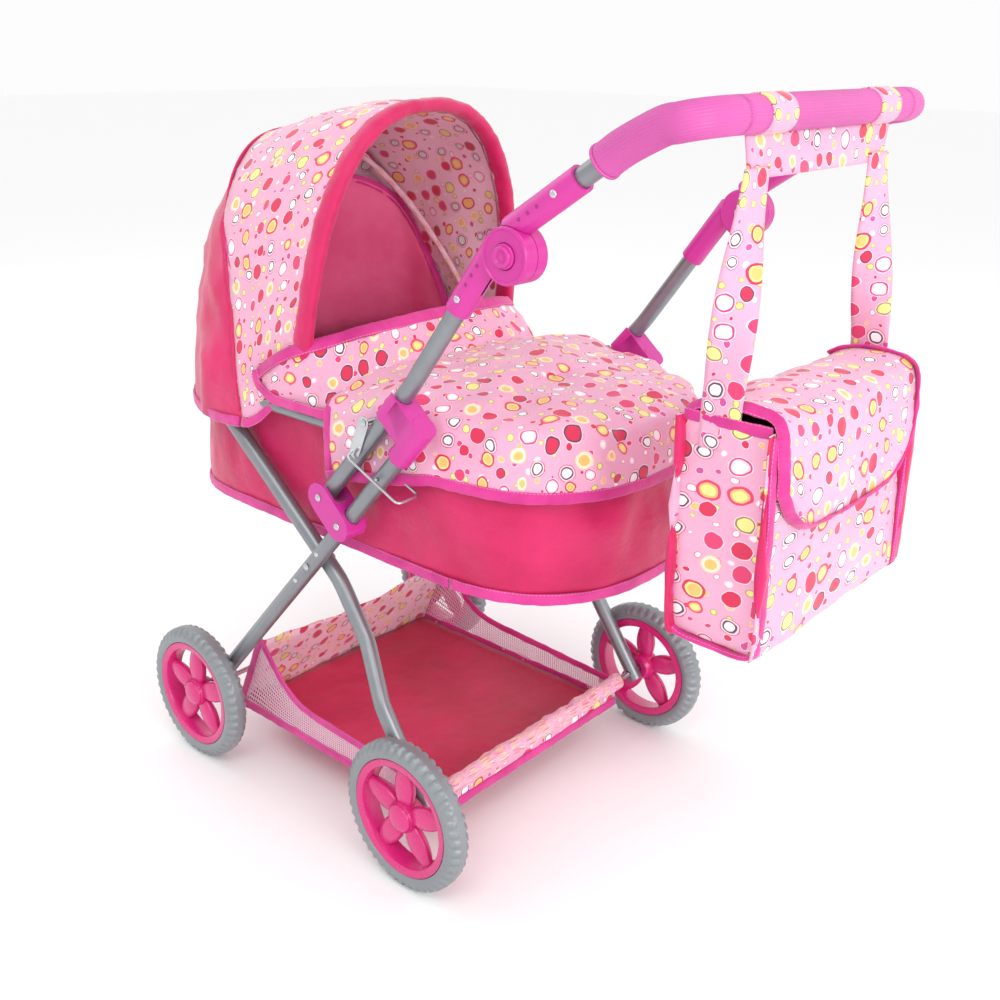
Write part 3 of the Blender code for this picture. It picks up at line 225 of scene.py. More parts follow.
def cloth_normal(shader, crease, weave_pitch=0.0007):
    """Soft creases with a fine weave on top."""
    creases = shader.noise(16.0, 4.0, stretch=(1.0, 1.0, 1.6))
    fold = shader.noise(46.0, 3.0)
    under = shader.bump(creases, crease, 0.8)
    under = shader.bump(fold, crease * 0.25, 0.6, under)
    return shader.bump(shader.weave(weave_pitch), 0.00012, 0.5, under)


def nylon(name, colour, deep, roughness=0.42):
    """Plain dyed nylon: two close shades, a weave and soft creases."""
    shader = Shader(name, colour, roughness, Sheen_Weight=0.25, Sheen_Roughness=0.4, Specular_IOR_Level=0.35)
    tone = shader.noise(11.0, 5.0)
    threads = shader.noise(900.0, 1.0, "cloth")
    mixed = shader.math("ADD", shader.math("MULTIPLY", tone, 0.8), shader.math("MULTIPLY", threads, 0.2))
    shader.set("Base Color", shader.ramp(mixed, [(0.36, deep), (0.62, colour)]))
    shader.set("Normal", cloth_normal(shader, 0.0035))
    return shader.material


def blobs(shader, cloth, cell, offset, radii, styles, edges):
    """One layer of scattered ovals: each style gives a colour per ring, outermost first."""
    moved = shader.vector("ADD", cloth, (offset, offset * 0.7, 0.0))
    cells = shader.node("TexVoronoi", {"Vector": moved}, voronoi_dimensions="2D", feature="F1",
                        Scale=1.0 / cell, Randomness=0.52)
    split = shader.node("SeparateColor", {"Color": cells.outputs["Color"]})
    turn, size, kind = (split.outputs[i] for i in range(3))
    away = shader.vector("SUBTRACT", moved, cells.outputs["Position"])
    spin = shader.node("VectorRotate", {"Vector": away, "Angle": shader.math("MULTIPLY", turn, 1.2)},
                       rotation_type="Z_AXIS")
    oval_shape = shader.vector("MULTIPLY", spin.outputs["Vector"], (1.0, 1.16, 0.0))
    distance = shader.vector("LENGTH", oval_shape)
    low, high = radii
    radius = shader.math("ADD", shader.math("MULTIPLY", size, high - low), low)
    ratio = shader.math("DIVIDE", distance, radius)
    count = len(styles)
    layers = []
    for ring, edge in enumerate(edges):
        stops = [(i / count, style[ring]) for i, style in enumerate(styles)]
        layers.append((shader.math("LESS_THAN", ratio, edge), shader.ramp(kind, stops, "CONSTANT")))
    return layers


def printed(name, ground, shade, strength=1.0):
    """Cotton print of scattered ringed ovals on a pink ground."""
    white = srgb(250, 246, 248)
    pale = srgb(250, 214, 226)
    grey = srgb(96, 66, 82)
    rose = srgb(222, 62, 112)
    red = srgb(214, 44, 84)
    orange = srgb(246, 190, 110)
    yellow = srgb(246, 226, 140)
    cream = srgb(250, 234, 190)
    lime = srgb(206, 212, 96)
    olive = srgb(150, 132, 84)
    magenta = srgb(208, 78, 148)
    large = (
        (rose, pale, grey, white), (rose, rose, orange, yellow), (pale, grey, red, red),
        (orange, pale, cream, orange), (pale, rose, pale, white), (pale, rose, rose, rose),
        (red, red, yellow, orange), (rose, pale, grey, white), (pale, olive, yellow, yellow),
        (pale, red, red, red),
    )
    medium = (
        (pale, magenta, magenta), (olive, lime, yellow), (pale, red, red), (rose, pale, white),
        (pale, rose, rose), (pale, orange, orange), (pale, pale, white), (olive, yellow, yellow),
    )
    shader = Shader(name, ground, 0.62, Sheen_Weight=0.3, Sheen_Roughness=0.5, Specular_IOR_Level=0.3)
    cloth = shader.coordinates("cloth")
    wobble = shader.node("TexNoise", {"Vector": cloth}, Scale=110.0, Detail=1.0).outputs["Color"]
    centred = shader.vector("SUBTRACT", wobble, (0.5, 0.5, 0.5))
    cloth = shader.vector("ADD", cloth, shader.vector("SCALE", centred, scale=0.003))
    colour = shader.mix(shader.noise(9.0, 3.0), shade, ground)
    for cell, offset, radii, styles, edges in (
        (0.0140, 0.31, (0.0016, 0.0038), medium, (1.0, 0.84, 0.62)),
        (0.0215, 0.0, (0.0056, 0.0092), large, (1.0, 0.91, 0.74, 0.55)),
    ):
        for mask, ring in blobs(shader, cloth, cell, offset, radii, styles, edges):
            colour = shader.mix(shader.math("MULTIPLY", mask, strength), colour, ring)
    shader.set("Base Color", colour)
    shader.set("Normal", cloth_normal(shader, 0.003))
    return shader.material


def tape(name, colour, deep):
    """Ribbed edge binding with a stitch line along each side."""
    shader = Shader(name, colour, 0.55, Sheen_Weight=0.35, Sheen_Roughness=0.4, Specular_IOR_Level=0.3)
    cloth = shader.coordinates("cloth")
    split = shader.node("SeparateXYZ", {"Vector": cloth})
    along = split.outputs["X"]
    ribs = shader.node("TexWave", {"Vector": cloth}, wave_type="BANDS", bands_direction="X",
                       Scale=0.314 / 0.0011)
    dash = shader.math("LESS_THAN", shader.math("FRACT", shader.math("MULTIPLY", along, 1.0 / 0.0034)), 0.72)
    across = shader.math("ABSOLUTE", shader.math("SUBTRACT", shader.math("FRACT", split.outputs["Y"]), 0.5))
    line = shader.math("LESS_THAN", shader.math("ABSOLUTE", shader.math("SUBTRACT", across, 0.12)), 0.028)
    stitch = shader.math("MULTIPLY", dash, line)
    tone = shader.ramp(shader.noise(30.0, 4.0), [(0.3, deep), (0.65, colour)])
    shader.set("Base Color", shader.mix(shader.math("MULTIPLY", stitch, 0.55), tone, srgb(240, 150, 200)))
    under = shader.bump(shader.noise(70.0, 3.0), 0.0012, 0.7)
    under = shader.bump(ribs.outputs["Fac"], 0.00025, 0.6, under)
    shader.set("Normal", shader.bump(stitch, 0.0003, 0.8, under))
    return shader.material


def netting(name):
    """Pale pink knitted mesh with open cells."""
    shader = Shader(name, srgb(240, 205, 222), 0.6, Sheen_Weight=0.2)
    cloth = shader.coordinates("cloth")
    cells = shader.node("TexVoronoi", {"Vector": cloth}, voronoi_dimensions="2D", feature="DISTANCE_TO_EDGE",
                        Scale=1.0 / 0.0031, Randomness=0.12)
    thread = shader.math("LESS_THAN", cells.outputs["Distance"], 0.15)
    shader.set("Alpha", thread)
    shader.set("Normal", shader.bump(cells.outputs["Distance"], 0.0004, 0.7))
    return shader.material


def moulded(name, colour, roughness, coat=0.15, grain=0.00006, metallic=0.0, tint=0.9):
    """Moulded plastic or rubber: faint grain and handling wear in the roughness."""
    shader = Shader(name, colour, roughness, Coat_Weight=coat, Coat_Roughness=0.25, Metallic=metallic)
    wear = shader.noise(35.0, 5.0)
    shader.set("Roughness", shader.math("ADD", shader.math("MULTIPLY", wear, 0.22), roughness - 0.11))
    darker = (colour[0] * tint, colour[1] * tint, colour[2] * tint, 1.0)
    shader.set("Base Color", shader.ramp(shader.noise(14.0, 4.0), [(0.35, darker), (0.65, colour)]))
    shader.set("Normal", shader.bump(shader.noise(1400.0, 2.0), grain, 0.6))
    return shader.material


def metal(name, colour, roughness, metallic, grain=0.00005):
    """Painted or zinc-plated steel with faint orange peel and rubbed patches."""
    shader = Shader(name, colour, roughness, Metallic=metallic, Specular_IOR_Level=0.5)
    rubbed = shader.noise(60.0, 6.0)
    shader.set("Roughness", shader.math("ADD", shader.math("MULTIPLY", rubbed, 0.2), roughness - 0.1))
    darker = (colour[0] * 0.86, colour[1] * 0.86, colour[2] * 0.88, 1.0)
    shader.set("Base Color", shader.ramp(rubbed, [(0.3, darker), (0.7, colour)]))
    shader.set("Normal", shader.bump(shader.noise(700.0, 2.0), grain, 0.5))
    return shader.material


PINK = srgb(216, 34, 104)
PINK_DEEP = srgb(190, 20, 82)
MAT = {
    "nylon": nylon("nylon_hot_pink", PINK, PINK_DEEP),
    # a darker copy of the pink nylon: painted shade for faces in shade, namely the cot's inside, the basket
    # floor under the cot and the bag cover's underside
    "nylon_painted_shade": nylon("nylon_lining_painted_shade", srgb(206, 26, 84), srgb(178, 16, 64)),
    "print": printed("print_cotton", srgb(236, 178, 204), srgb(224, 154, 186)),
    # the reverse of the print: the fainter print is the cloth's own, and the ground is lightened further as
    # painted light for light through the thin cloth
    "print_inside": printed("print_reverse_and_painted_light", srgb(250, 218, 230), srgb(246, 196, 216), 0.75),
    # a lighter copy of the pink nylon: painted light for the light that comes through the hood's thin cloth
    "inner_pink_painted_light": nylon("nylon_inner_panel_painted_light", srgb(250, 112, 162), srgb(240, 84, 140), 0.55),
    "tape": tape("edge_tape", srgb(222, 62, 150), srgb(196, 40, 128)),
    "net": netting("white_net"),
    "steel": metal("grey_tube_paint", srgb(146, 150, 154), 0.36, 0.7),
    "zinc": metal("zinc_plate", srgb(205, 207, 210), 0.24, 0.95),
    "purple": moulded("purple_fitting", srgb(206, 44, 152), 0.38),
    # darker purple for the dimples: painted shade in place of real dents
    "purple_deep": moulded("purple_dent_painted_shade", srgb(158, 20, 112), 0.5),
    "grip": moulded("ribbed_grip", srgb(206, 84, 164), 0.5, coat=0.08, grain=0.0001),
    "rim": moulded("wheel_plastic", srgb(214, 36, 122), 0.28, coat=0.35),
    "tyre": moulded("tyre_grey", srgb(140, 146, 150), 0.36, coat=0.1, grain=0.0001, metallic=0.25),
    "board": moulded("fibre_board", srgb(170, 140, 104), 0.8, coat=0.0, grain=0.0003),
}


# ---------------------------------------------------------------- mesh helpers
def link_mesh(name, bm, mat, smooth=True):
    """A new object from bm, with its materials, shaded smooth unless told not to."""
    mesh = bpy.data.meshes.new(name)
    bm.to_mesh(mesh)
    bm.free()
    obj = bpy.data.objects.new(name, mesh)
    bpy.context.scene.collection.objects.link(obj)
    for one in mat if isinstance(mat, (list, tuple)) else [mat]:
        mesh.materials.append(MAT[one])
    if smooth:
        mesh.shade_smooth()
    return obj


def settle(obj):
    """Replace the object's mesh by the one its modifiers give."""
    graph = bpy.context.evaluated_depsgraph_get()
    mesh = bpy.data.meshes.new_from_object(obj.evaluated_get(graph))
    obj.modifiers.clear()
    obj.data = mesh
    return obj


def grid_bm(rows, closed=False, uv=None):
    """A bmesh of quads through rows of points, with cloth coordinates in metres."""
    bm = bmesh.new()
    layer = bm.loops.layers.uv.new("cloth")
    count = len(rows[0])
    across = [0.0]
    for j in range(1, count + 1):
        step = sum((row[j % count] - row[j - 1]).length for row in rows) / len(rows)
        across.append(across[-1] + step)
    down = [0.0]
    for i in range(1, len(rows)):
        step = sum((a - b).length for a, b in zip(rows[i], rows[i - 1])) / count
        down.append(down[-1] + step)
    verts = [[bm.verts.new(p) for p in row] for row in rows]
    for i in range(len(rows) - 1):
        for j in range(count if closed else count - 1):
            k = (j + 1) % count
            face = bm.faces.new((verts[i][j], verts[i][k], verts[i + 1][k], verts[i + 1][j]))
            places = ((i, j), (i, j + 1), (i + 1, j + 1), (i + 1, j))
            for loop, (a, b) in zip(face.loops, places):
                loop[layer].uv = uv(a, b) if uv else (across[b], down[a])
    return bm, verts


def facing(obj, inside):
    """Turn all faces so that they look away from the point inside."""
    bm = bmesh.new()
    bm.from_mesh(obj.data)
    bmesh.ops.recalc_face_normals(bm, faces=bm.faces)
    towards = sum(face.normal.dot(face.calc_center_median() - inside) * face.calc_area() for face in bm.faces)
    if towards < 0.0:
        bmesh.ops.reverse_faces(bm, faces=bm.faces)
    bm.to_mesh(obj.data)
    bm.free()
    return obj


def refine(obj, levels):
    """Subdivide smoothly, without shrinking the edges' corners."""
    modifier = obj.modifiers.new("fine", "SUBSURF")
    modifier.levels = levels
    modifier.render_levels = levels
    modifier.boundary_smooth = "PRESERVE_CORNERS"
    return settle(obj)


def rumple(obj, waves, seed, weight=None):
    """Push the vertices along their normals by layered noise; waves are (height, size) pairs."""
    shift = Vector((seed * 7.13, seed * 3.71, seed * 1.37))
    mesh = obj.data
    normals = [v.normal.copy() for v in mesh.vertices]
    for vertex, normal in zip(mesh.vertices, normals):
        amount = sum(h * noise.noise(vertex.co / size + shift) for h, size in waves)
        if weight is not None:
            amount *= weight(vertex.co)
        vertex.co += normal * amount
    mesh.update()
    return obj


def thicken(obj, thickness, lining=False):
    """Give the cloth its thickness, inwards, with the second material inside."""
    modifier = obj.modifiers.new("thickness", "SOLIDIFY")
    modifier.thickness = thickness
    modifier.offset = -1.0
    modifier.use_even_offset = False
    modifier.material_offset = 1 if lining else 0
    modifier.material_offset_rim = 0
    return settle(obj)


def away_from(paths, reach, share=1.0):
    """A weight that is nothing on the given paths and grows to its share at the given reach."""
    points = [p for path in paths for p in path]
    tree = KDTree(len(points))
    for i, p in enumerate(points):
        tree.insert(p, i)
    tree.balance()
    return lambda co: share * min(1.0, tree.find(co)[2] / reach) ** 1.3


def cloth_panel(name, rows, mats, inside, levels=1, closed=False, uv=None, waves=(), seed=1.0,
                weight=None, thickness=CLOTH, weld=False):
    """A sewn panel through rows of points: smoothed, rumpled and given its thickness."""
    bm, _ = grid_bm(rows, closed, uv)
    if weld:
        bmesh.ops.remove_doubles(bm, verts=bm.verts, dist=0.00002)
    obj = facing(link_mesh(name, bm, mats), inside)
    if levels:
        refine(obj, levels)
    if waves:
        rumple(obj, waves, seed, weight)
    obj["flat"] = measure(obj)
    return thicken(obj, thickness, lining=isinstance(mats, (list, tuple)))


def measure(obj):
    """The panel's flat area, and the width and length of the cloth it is cut from."""
    area = sum(p.area for p in obj.data.polygons)
    layer = obj.data.uv_layers["cloth"].data
    us = [d.uv.x for d in layer]
    vs = [d.uv.y for d in layer]
    width = max(us) - min(us)
    length = max(vs) - min(vs)
    grow = max(1.0, math.sqrt(area / (width * length)))
    return [width * grow, length * grow, area]


def smooth_path(points, count, closed=False):
    """Catmull-Rom points through the given ones, evenly spread."""
    n = len(points)
    dense = []
    spans = n if closed else n - 1
    for i in range(spans):
        p1 = points[i]
        p2 = points[(i + 1) % n]
        p0 = points[i - 1] if closed or i > 0 else p1 * 2 - p2
        p3 = points[(i + 2) % n] if closed or i + 2 < n else p2 * 2 - p1
        for k in range(16):
            t = k / 16
            dense.append(0.5 * (2 * p1 + (p2 - p0) * t + (2 * p0 - 5 * p1 + 4 * p2 - p3) * t * t
                                + (3 * p1 - p0 - 3 * p2 + p3) * t ** 3))
    dense.append(Vector(points[0] if closed else points[-1]))
    lengths = [0.0]
    for a, b in zip(dense, dense[1:]):
        lengths.append(lengths[-1] + (b - a).length)
    result = []
    j = 0
    steps = count if closed else count - 1
    for k in range(count):
        target = lengths[-1] * k / steps
        while j < len(lengths) - 2 and lengths[j + 1] < target:
            j += 1
        span = lengths[j + 1] - lengths[j]
        f = (target - lengths[j]) / span if span > 0 else 0.0
        result.append(dense[j].lerp(dense[j + 1], f))
    return result


def sweep(name, path, section, mat, up=None, closed=False, scale=None):
    """A solid whose cross-section follows a path; up gives the section's second direction."""
    bm = bmesh.new()
    layer = bm.loops.layers.uv.new("cloth")
    count = len(path)
    rings = []
    along = 0.0
    stations = []
    normal = None
    for i, p in enumerate(path):
        after = path[(i + 1) % count] if closed or i < count - 1 else p
        before = path[i - 1] if closed or i > 0 else p
        tangent = (after - before).normalized()
        if up is not None:
            wanted = up(p, i) if callable(up) else up
        elif normal is None:
            wanted = Vector((0.0, 0.0, 1.0)) if abs(tangent.z) < 0.9 else Vector((0.0, 1.0, 0.0))
        else:
            wanted = normal
        normal = (wanted - tangent * wanted.dot(tangent)).normalized()
        side = tangent.cross(normal)
        size = scale(i / max(1, count - 1)) if scale else 1.0
        rings.append([bm.verts.new(p + side * (a * size) + normal * (b * size)) for a, b in section])
        if i:
            along += (p - path[i - 1]).length
        stations.append(along)
    m = len(section)
    total = count if closed else count - 1
    for i in range(total):
        j = (i + 1) % count
        end = stations[j] if j else along + (path[0] - path[-1]).length
        for k in range(m):
            face = bm.faces.new((rings[i][k], rings[i][(k + 1) % m], rings[j][(k + 1) % m], rings[j][k]))
            places = ((stations[i], k), (stations[i], k + 1), (end, k + 1), (end, k))
            for loop, (u, v) in zip(face.loops, places):
                loop[layer].uv = (u, v / m)
    if not closed:
        bm.faces.new(rings[0])
        bm.faces.new(rings[-1])
    bmesh.ops.recalc_face_normals(bm, faces=bm.faces)
    return link_mesh(name, bm, mat)


def oval(width, height, sides=12, power=1.0):
    """A rounded cross-section; a power below one makes it squarer."""
    points = []
    for k in range(sides):
        a = 2 * math.pi * (k + 0.5) / sides
        x = math.copysign(abs(math.cos(a)) ** power, math.cos(a)) * width / 2
        y = math.copysign(abs(math.sin(a)) ** power, math.sin(a)) * height / 2
        points.append((x, y))
    return points


def binding(name, path, outward, closed=False, width=TAPE_WIDTH, thickness=TAPE_THICKNESS, seed=2.0):
    """Edge tape that lies flat on a surface whose outward direction is given."""
    made = sweep(name, path, oval(width, thickness, 14, 0.6), "tape", outward, closed)
    return rumple(made, [(0.0007, 0.011), (0.0004, 0.004)], seed)


def lathe(name, profile, centre, mat, facets=64, ring=False, sign=1.0):
    """A body of revolution about X; profile holds (x, radius) pairs."""
    bm = bmesh.new()
    rings = []
    for x, r in profile:
        if r <= 1e-6:
            rings.append([bm.verts.new(centre + Vector((sign * x, 0, 0)))])
            continue
        circle = []
        for k in range(facets):
            a = 2 * math.pi * (k + 0.5) / facets
            circle.append(bm.verts.new(centre + Vector((sign * x, r * math.sin(a), r * math.cos(a)))))
        rings.append(circle)
    pairs = list(zip(rings, rings[1:]))
    if ring:
        pairs.append((rings[-1], rings[0]))
    for first, second in pairs:
        for k in range(facets):
            n = (k + 1) % facets
            a = [first[k], first[n]] if len(first) > 1 else [first[0]]
            b = [second[n], second[k]] if len(second) > 1 else [second[0]]
            if len(a) + len(b) > 2:
                bm.faces.new(a + b)
    bmesh.ops.recalc_face_normals(bm, faces=bm.faces)
    obj = link_mesh(name, bm, mat)
    obj.data.set_sharp_from_angle(angle=math.radians(42))
    return obj


def join(target, *others):
    """Merge the other objects' meshes into target and remove them."""
    bm = bmesh.new()
    bm.from_mesh(target.data)
    for other in others:
        other.data.transform(target.matrix_world.inverted() @ other.matrix_world)
        bm.from_mesh(other.data)
        bpy.data.objects.remove(other)
    bm.to_mesh(target.data)
    bm.free()
    return target


# ---------------------------------------------------------------- CAD nodes that are shown as they are
def polish(node, mat):
    """Round a CAD node's edges and give it its material."""
    obj = NODES[node]
    obj.data.materials.clear()
    obj.data.materials.append(MAT[mat])
    obj.data.shade_smooth()
    if "custom_normal" in obj.data.attributes:
        obj.data.attributes.remove(obj.data.attributes["custom_normal"])
    weld = obj.modifiers.new("weld", "WELD")
    weld.merge_threshold = 0.00001
    bevel = obj.modifiers.new("edges", "BEVEL")
    bevel.width = 0.0005
    bevel.segments = 2
    bevel.limit_method = "ANGLE"
    bevel.angle_limit = math.radians(40)
    bevel.use_clamp_overlap = True
    bevel.harden_normals = True
    return obj


def hard_parts():
    """Materials for the metal and plastic that keeps its CAD shape."""
    purple = ("frame_bracket", "lock_clip", "lower_connector", "upper_connector", "angle_button")
    zinc = ("cross_pin", "fold_pin", "hinge_plate", "cot_bolt", "joint_pin", "button_spring", "lock_wire",
            "hood_hinge")
    steel = ("front_leg", "rear_leg", "handle_tube", "cot_rail")
    for side, _ in SIDES:
        for names, mat in ((purple, "purple"), (zinc, "zinc"), (steel, "steel")):
            for name in names:
                polish(f"{name}_{side}", mat)
    for name in ("front_axle", "rear_axle", "hem_wire", "hood_front_bow", "hood_middle_bow"):
        polish(name, "zinc")
    polish("push_handle_tube", "steel")
    polish("base_board", "board")


# ---------------------------------------------------------------- wheels
def tyre(name, centre):
    """A broad tyre with a row of notches round each shoulder."""
    half = 0.0115
    seat = 0.0575
    notches = 46
    steps = notches * 4
    outline = [
        (-half + 0.0015, seat), (-half, seat + 0.0030), (-half, WHEEL_RADIUS - 0.0085),
        (-half + 0.0010, WHEEL_RADIUS - 0.0045), (-half + 0.0042, WHEEL_RADIUS - 0.0008),
        (-0.0035, WHEEL_RADIUS), (0.0035, WHEEL_RADIUS),
        (half - 0.0042, WHEEL_RADIUS - 0.0008), (half - 0.0010, WHEEL_RADIUS - 0.0045),
        (half, WHEEL_RADIUS - 0.0085), (half, seat + 0.0030), (half - 0.0015, seat),
    ]
    bm = bmesh.new()
    rings = []
    for k in range(steps):
        a = 2 * math.pi * k / steps
        ring = []
        for i, (x, r) in enumerate(outline):
            cut = 0.0030 if k % 4 in (1, 2) and (3 <= i <= 4 or 7 <= i <= 8) else 0.0
            depth = r - cut
            ring.append(bm.verts.new(centre + Vector((x, depth * math.sin(a), depth * math.cos(a)))))
        rings.append(ring)
    m = len(outline)
    for k in range(steps):
        for i in range(m):
            j = (i + 1) % m
            n = (k + 1) % steps
            bm.faces.new((rings[k][i], rings[k][j], rings[n][j], rings[n][i]))
    bmesh.ops.recalc_face_normals(bm, faces=bm.faces)
    obj = link_mesh(name, bm, "tyre")
    bevel = obj.modifiers.new("soft", "BEVEL")
    bevel.width = 0.0004
    bevel.segments = 1
    bevel.limit_method = "ANGLE"
    bevel.angle_limit = math.radians(30)
    settle(obj)
    obj.data.set_sharp_from_angle(angle=math.radians(28))
    return obj


def spoke(centre, angle, sign):
    """One fat half-round spoke from hub to rim."""
    inner = 0.0100
    outer = 0.0520
    path = []
    for k in range(9):
        r = inner + (outer - inner) * k / 8
        path.append(centre + Vector((sign * 0.0010, r * math.sin(angle), r * math.cos(angle))))

    def fatness(t):
        return 0.66 + 0.42 * math.sin(math.pi * min(1.0, t * 1.15)) ** 0.8 + 0.5 * max(0.0, t - 0.8)

    return sweep("spoke", path, oval(0.0215, 0.0120, 18, 0.85), "rim", Vector((1.0, 0.0, 0.0)), scale=fatness)


def rim(name, centre, sign):
    """Moulded rim band, domed hub cap and five spokes."""
    band = lathe(name, [
        (-0.0100, 0.0495), (-0.0100, 0.0570), (0.0100, 0.0570), (0.0100, 0.0525), (0.0088, 0.0500),
        (0.0060, 0.0490), (-0.0090, 0.0485),
    ], centre, "rim", ring=True, sign=sign)
    hub = lathe("hub", [
        (-0.0120, 0.0040), (-0.0120, 0.0110), (-0.0080, 0.0145), (0.0072, 0.0150), (0.0086, 0.0142),
        (0.0080, 0.0134), (0.0096, 0.0132), (0.0112, 0.0120), (0.0126, 0.0090), (0.0132, 0.0045),
        (0.0134, 0.0),
    ], centre, "rim", 40, sign=sign)
    pieces = [hub] + [spoke(centre, math.radians(72 * k), sign) for k in range(5)]
    return join(band, *pieces)


def wheels():
    """A fine tyre and rim in place of each plain wheel."""
    for end, axle in (("front", FRONT_AXLE), ("rear", REAR_AXLE)):
        for side, sign in SIDES:
            centre = Vector((sign * abs(WHEEL_X), axle.y, axle.z))
            body = f"{end}_wheel_{side}"
            made = (
                (tyre(f"tyre_{end}_{side}", centre), f"{end}_tyre_{side}", "tyre_grey"),
                (rim(f"rim_{end}_{side}", centre, sign), body, "wheel_pink"),
            )
            for piece, node, slot in made:
                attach(piece, body)
                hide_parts(node)


# ---------------------------------------------------------------- handle
ALONG_ARM, ABOVE_ARM = slope(34.0)
TUBE_ABOVE_JOINT = 0.0170
GRIP_START = 0.108
GRIP_RADIUS = 0.0136


def handle_line(start, count):
    """The push handle's centre line from one arm round the bar to the other."""
    corner = 0.050
    arm = HANDLE_JOINT + ABOVE_ARM * TUBE_ABOVE_JOINT
    first = arm + ALONG_ARM * start
    second = arm + ALONG_ARM * 0.150
    first.x = FRAME_X
    second.x = FRAME_X
    bar = Vector((FRAME_X, BAR.y, BAR.z))
    end = Vector((FRAME_X - corner, BAR.y, BAR.z))
    turn_in = bar - (bar - second) * 0.45
    bend = []
    steps = 14
    for k in range(steps + 1):
        t = k / steps
        bend.append(turn_in * (1 - t) ** 2 + bar * (2 * t * (1 - t)) + end * t ** 2)
    half = [first, first.lerp(second, 0.5), second.lerp(turn_in, 0.5)] + bend
    return smooth_path(mirrored(half + [Vector((0.0, BAR.y, BAR.z))]), count)


def ribbed(radius, ribs, depth):
    """A round section with shallow ribs that run along the grip."""
    points = []
    for k in range(ribs * 4):
        a = 2 * math.pi * k / (ribs * 4)
        r = radius - depth * (0.5 - 0.5 * math.cos(2 * math.pi * k / 4)) if k % 4 else radius
        points.append((r * math.cos(a), r * math.sin(a)))
    return points


def grip():
    """The soft ribbed sleeve with a plain lip at each end."""
    path = handle_line(GRIP_START, 150)
    made = sweep("handle_grip_ribbed", path, ribbed(GRIP_RADIUS, 36, 0.0005), "grip")
    ends = []
    for first, second in ((path[0], path[3]), (path[-1], path[-4])):
        direction = (second - first).normalized()
        stub = [first - direction * 0.0006, first + direction * 0.0014]
        ends.append(sweep("grip_end", stub, oval(0.0284, 0.0284, 48), "grip"))
    join(made, *ends)
    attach(made, "upper_handle")
    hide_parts("handle_grip")


def dome(name, centre, direction, radius, height, mat, body):
    """A low round rivet head or snap."""
    bm = bmesh.new()
    bmesh.ops.create_uvsphere(bm, u_segments=20, v_segments=12, radius=1.0)
    turn = direction.normalized().to_track_quat("Z", "Y").to_matrix().to_4x4()
    size = Matrix.Diagonal((radius, radius, height, 1.0))
    bm.transform(Matrix.Translation(centre) @ turn @ size)
    made = link_mesh(name, bm, mat)
    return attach(made, body)


def fitting_details():
    """Raised rims, button caps, rivets, and dimples drawn as dark domes of painted shade, on the angle
    joints, legs and brackets.
    """
    along_leg, _ = slope(48.5)
    along_lower, above_lower = slope(54.0)
    disc_face = FRAME_X + 0.0125
    disc_rim = [(disc_face + x, r) for x, r in (
        (-0.0004, 0.0222), (0.0010, 0.0216), (0.0012, 0.0204), (0.0002, 0.0194), (-0.0006, 0.0194))]
    pivot = Vector((0.0, HANDLE_JOINT.y, HANDLE_JOINT.z))
    for side, sign in SIDES:
        out = Vector((sign, 0.0, 0.0))
        ring = lathe(f"joint_rim_{side}", disc_rim, pivot, "purple", 48, ring=True, sign=sign)
        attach(ring, "lower_handle")
        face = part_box(f"angle_button_{side}")[1 if sign > 0 else 0].x * sign
        cap = [(face + x, r) for x, r in (
            (-0.0004, 0.0), (-0.0004, 0.0086), (0.0022, 0.0084), (0.0032, 0.0074), (0.0034, 0.0062),
            (0.0026, 0.0050), (0.0018, 0.0042), (0.0018, 0.0032), (0.0026, 0.0022), (0.0028, 0.0))]
        knob = lathe(f"button_cap_{side}", cap, pivot, "purple", 40, sign=sign)
        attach(knob, f"angle_button_{side}")
        for name, above, along, rivet_at in (
            ("lower", above_lower, -along_lower, 0.062),
            ("upper", ABOVE_ARM, ALONG_ARM, 0.064),
        ):
            base = HANDLE_JOINT + above * TUBE_ABOVE_JOINT
            base.x = sign * (FRAME_X + 0.0106)
            body = f"{name}_handle"
            for i, reach in enumerate((0.026, 0.036, 0.046)):
                spot = base + along * reach
                # each dimple is a low dark dome: painted shade standing in for a dent
                dome(f"{name}_dimple_{side}_{i}", spot, out, 0.0019, 0.0007, "purple_deep", body)
            dome(f"{name}_rivet_{side}", base + along * rivet_at, out, 0.0032, 0.0016, "zinc", body)
        for i, reach in enumerate((0.2850, 0.2350)):
            spot = FRONT_AXLE + along_leg * reach
            spot.x = sign * (FRAME_X + 0.0078)
            dome(f"leg_rivet_{side}_{i}", spot, out, 0.0026, 0.0013, "zinc", "front_frame")
        spot = FRONT_AXLE + along_leg * 0.338
        spot.x = sign * (FRAME_X + 0.0118)
        dome(f"bracket_rivet_{side}", spot, out, 0.0036, 0.0018, "zinc", "front_frame")


# ---------------------------------------------------------------- cot
def round_plan(half, front, rear, depth, z, count, power=COT_ROUND_POWER, front_power=2.0 / 3.4):
    """A closed loop: straight sides, a round rear end and a squarer front end, evenly spread points."""
    dense = []
    for y_mid, sense, bend in ((rear - depth, 1.0, power), (front + depth, -1.0, front_power)):
        for k in range(41):
            a = math.pi * k / 40
            x = sense * half * math.copysign(abs(math.cos(a)) ** bend, math.cos(a))
            dense.append(Vector((x, y_mid + sense * depth * abs(math.sin(a)) ** bend, z)))
    return smooth_path(dense, count, closed=True)


def cot_loop(grow, z, count=120):
    """The tub's outline, grown outwards."""
    depth = COT_ROUND_DEPTH + grow
    return round_plan(COT_HALF + grow, COT_LOW.y - grow * 1.6, COT_HIGH.y + grow, depth, z, count)


def drawn_in(shrink, z, count):
    """The tub's outline, drawn inwards."""
    depth = COT_ROUND_DEPTH - shrink
    return round_plan(COT_HALF - shrink, COT_LOW.y + shrink, COT_HIGH.y - shrink, depth, z, count)


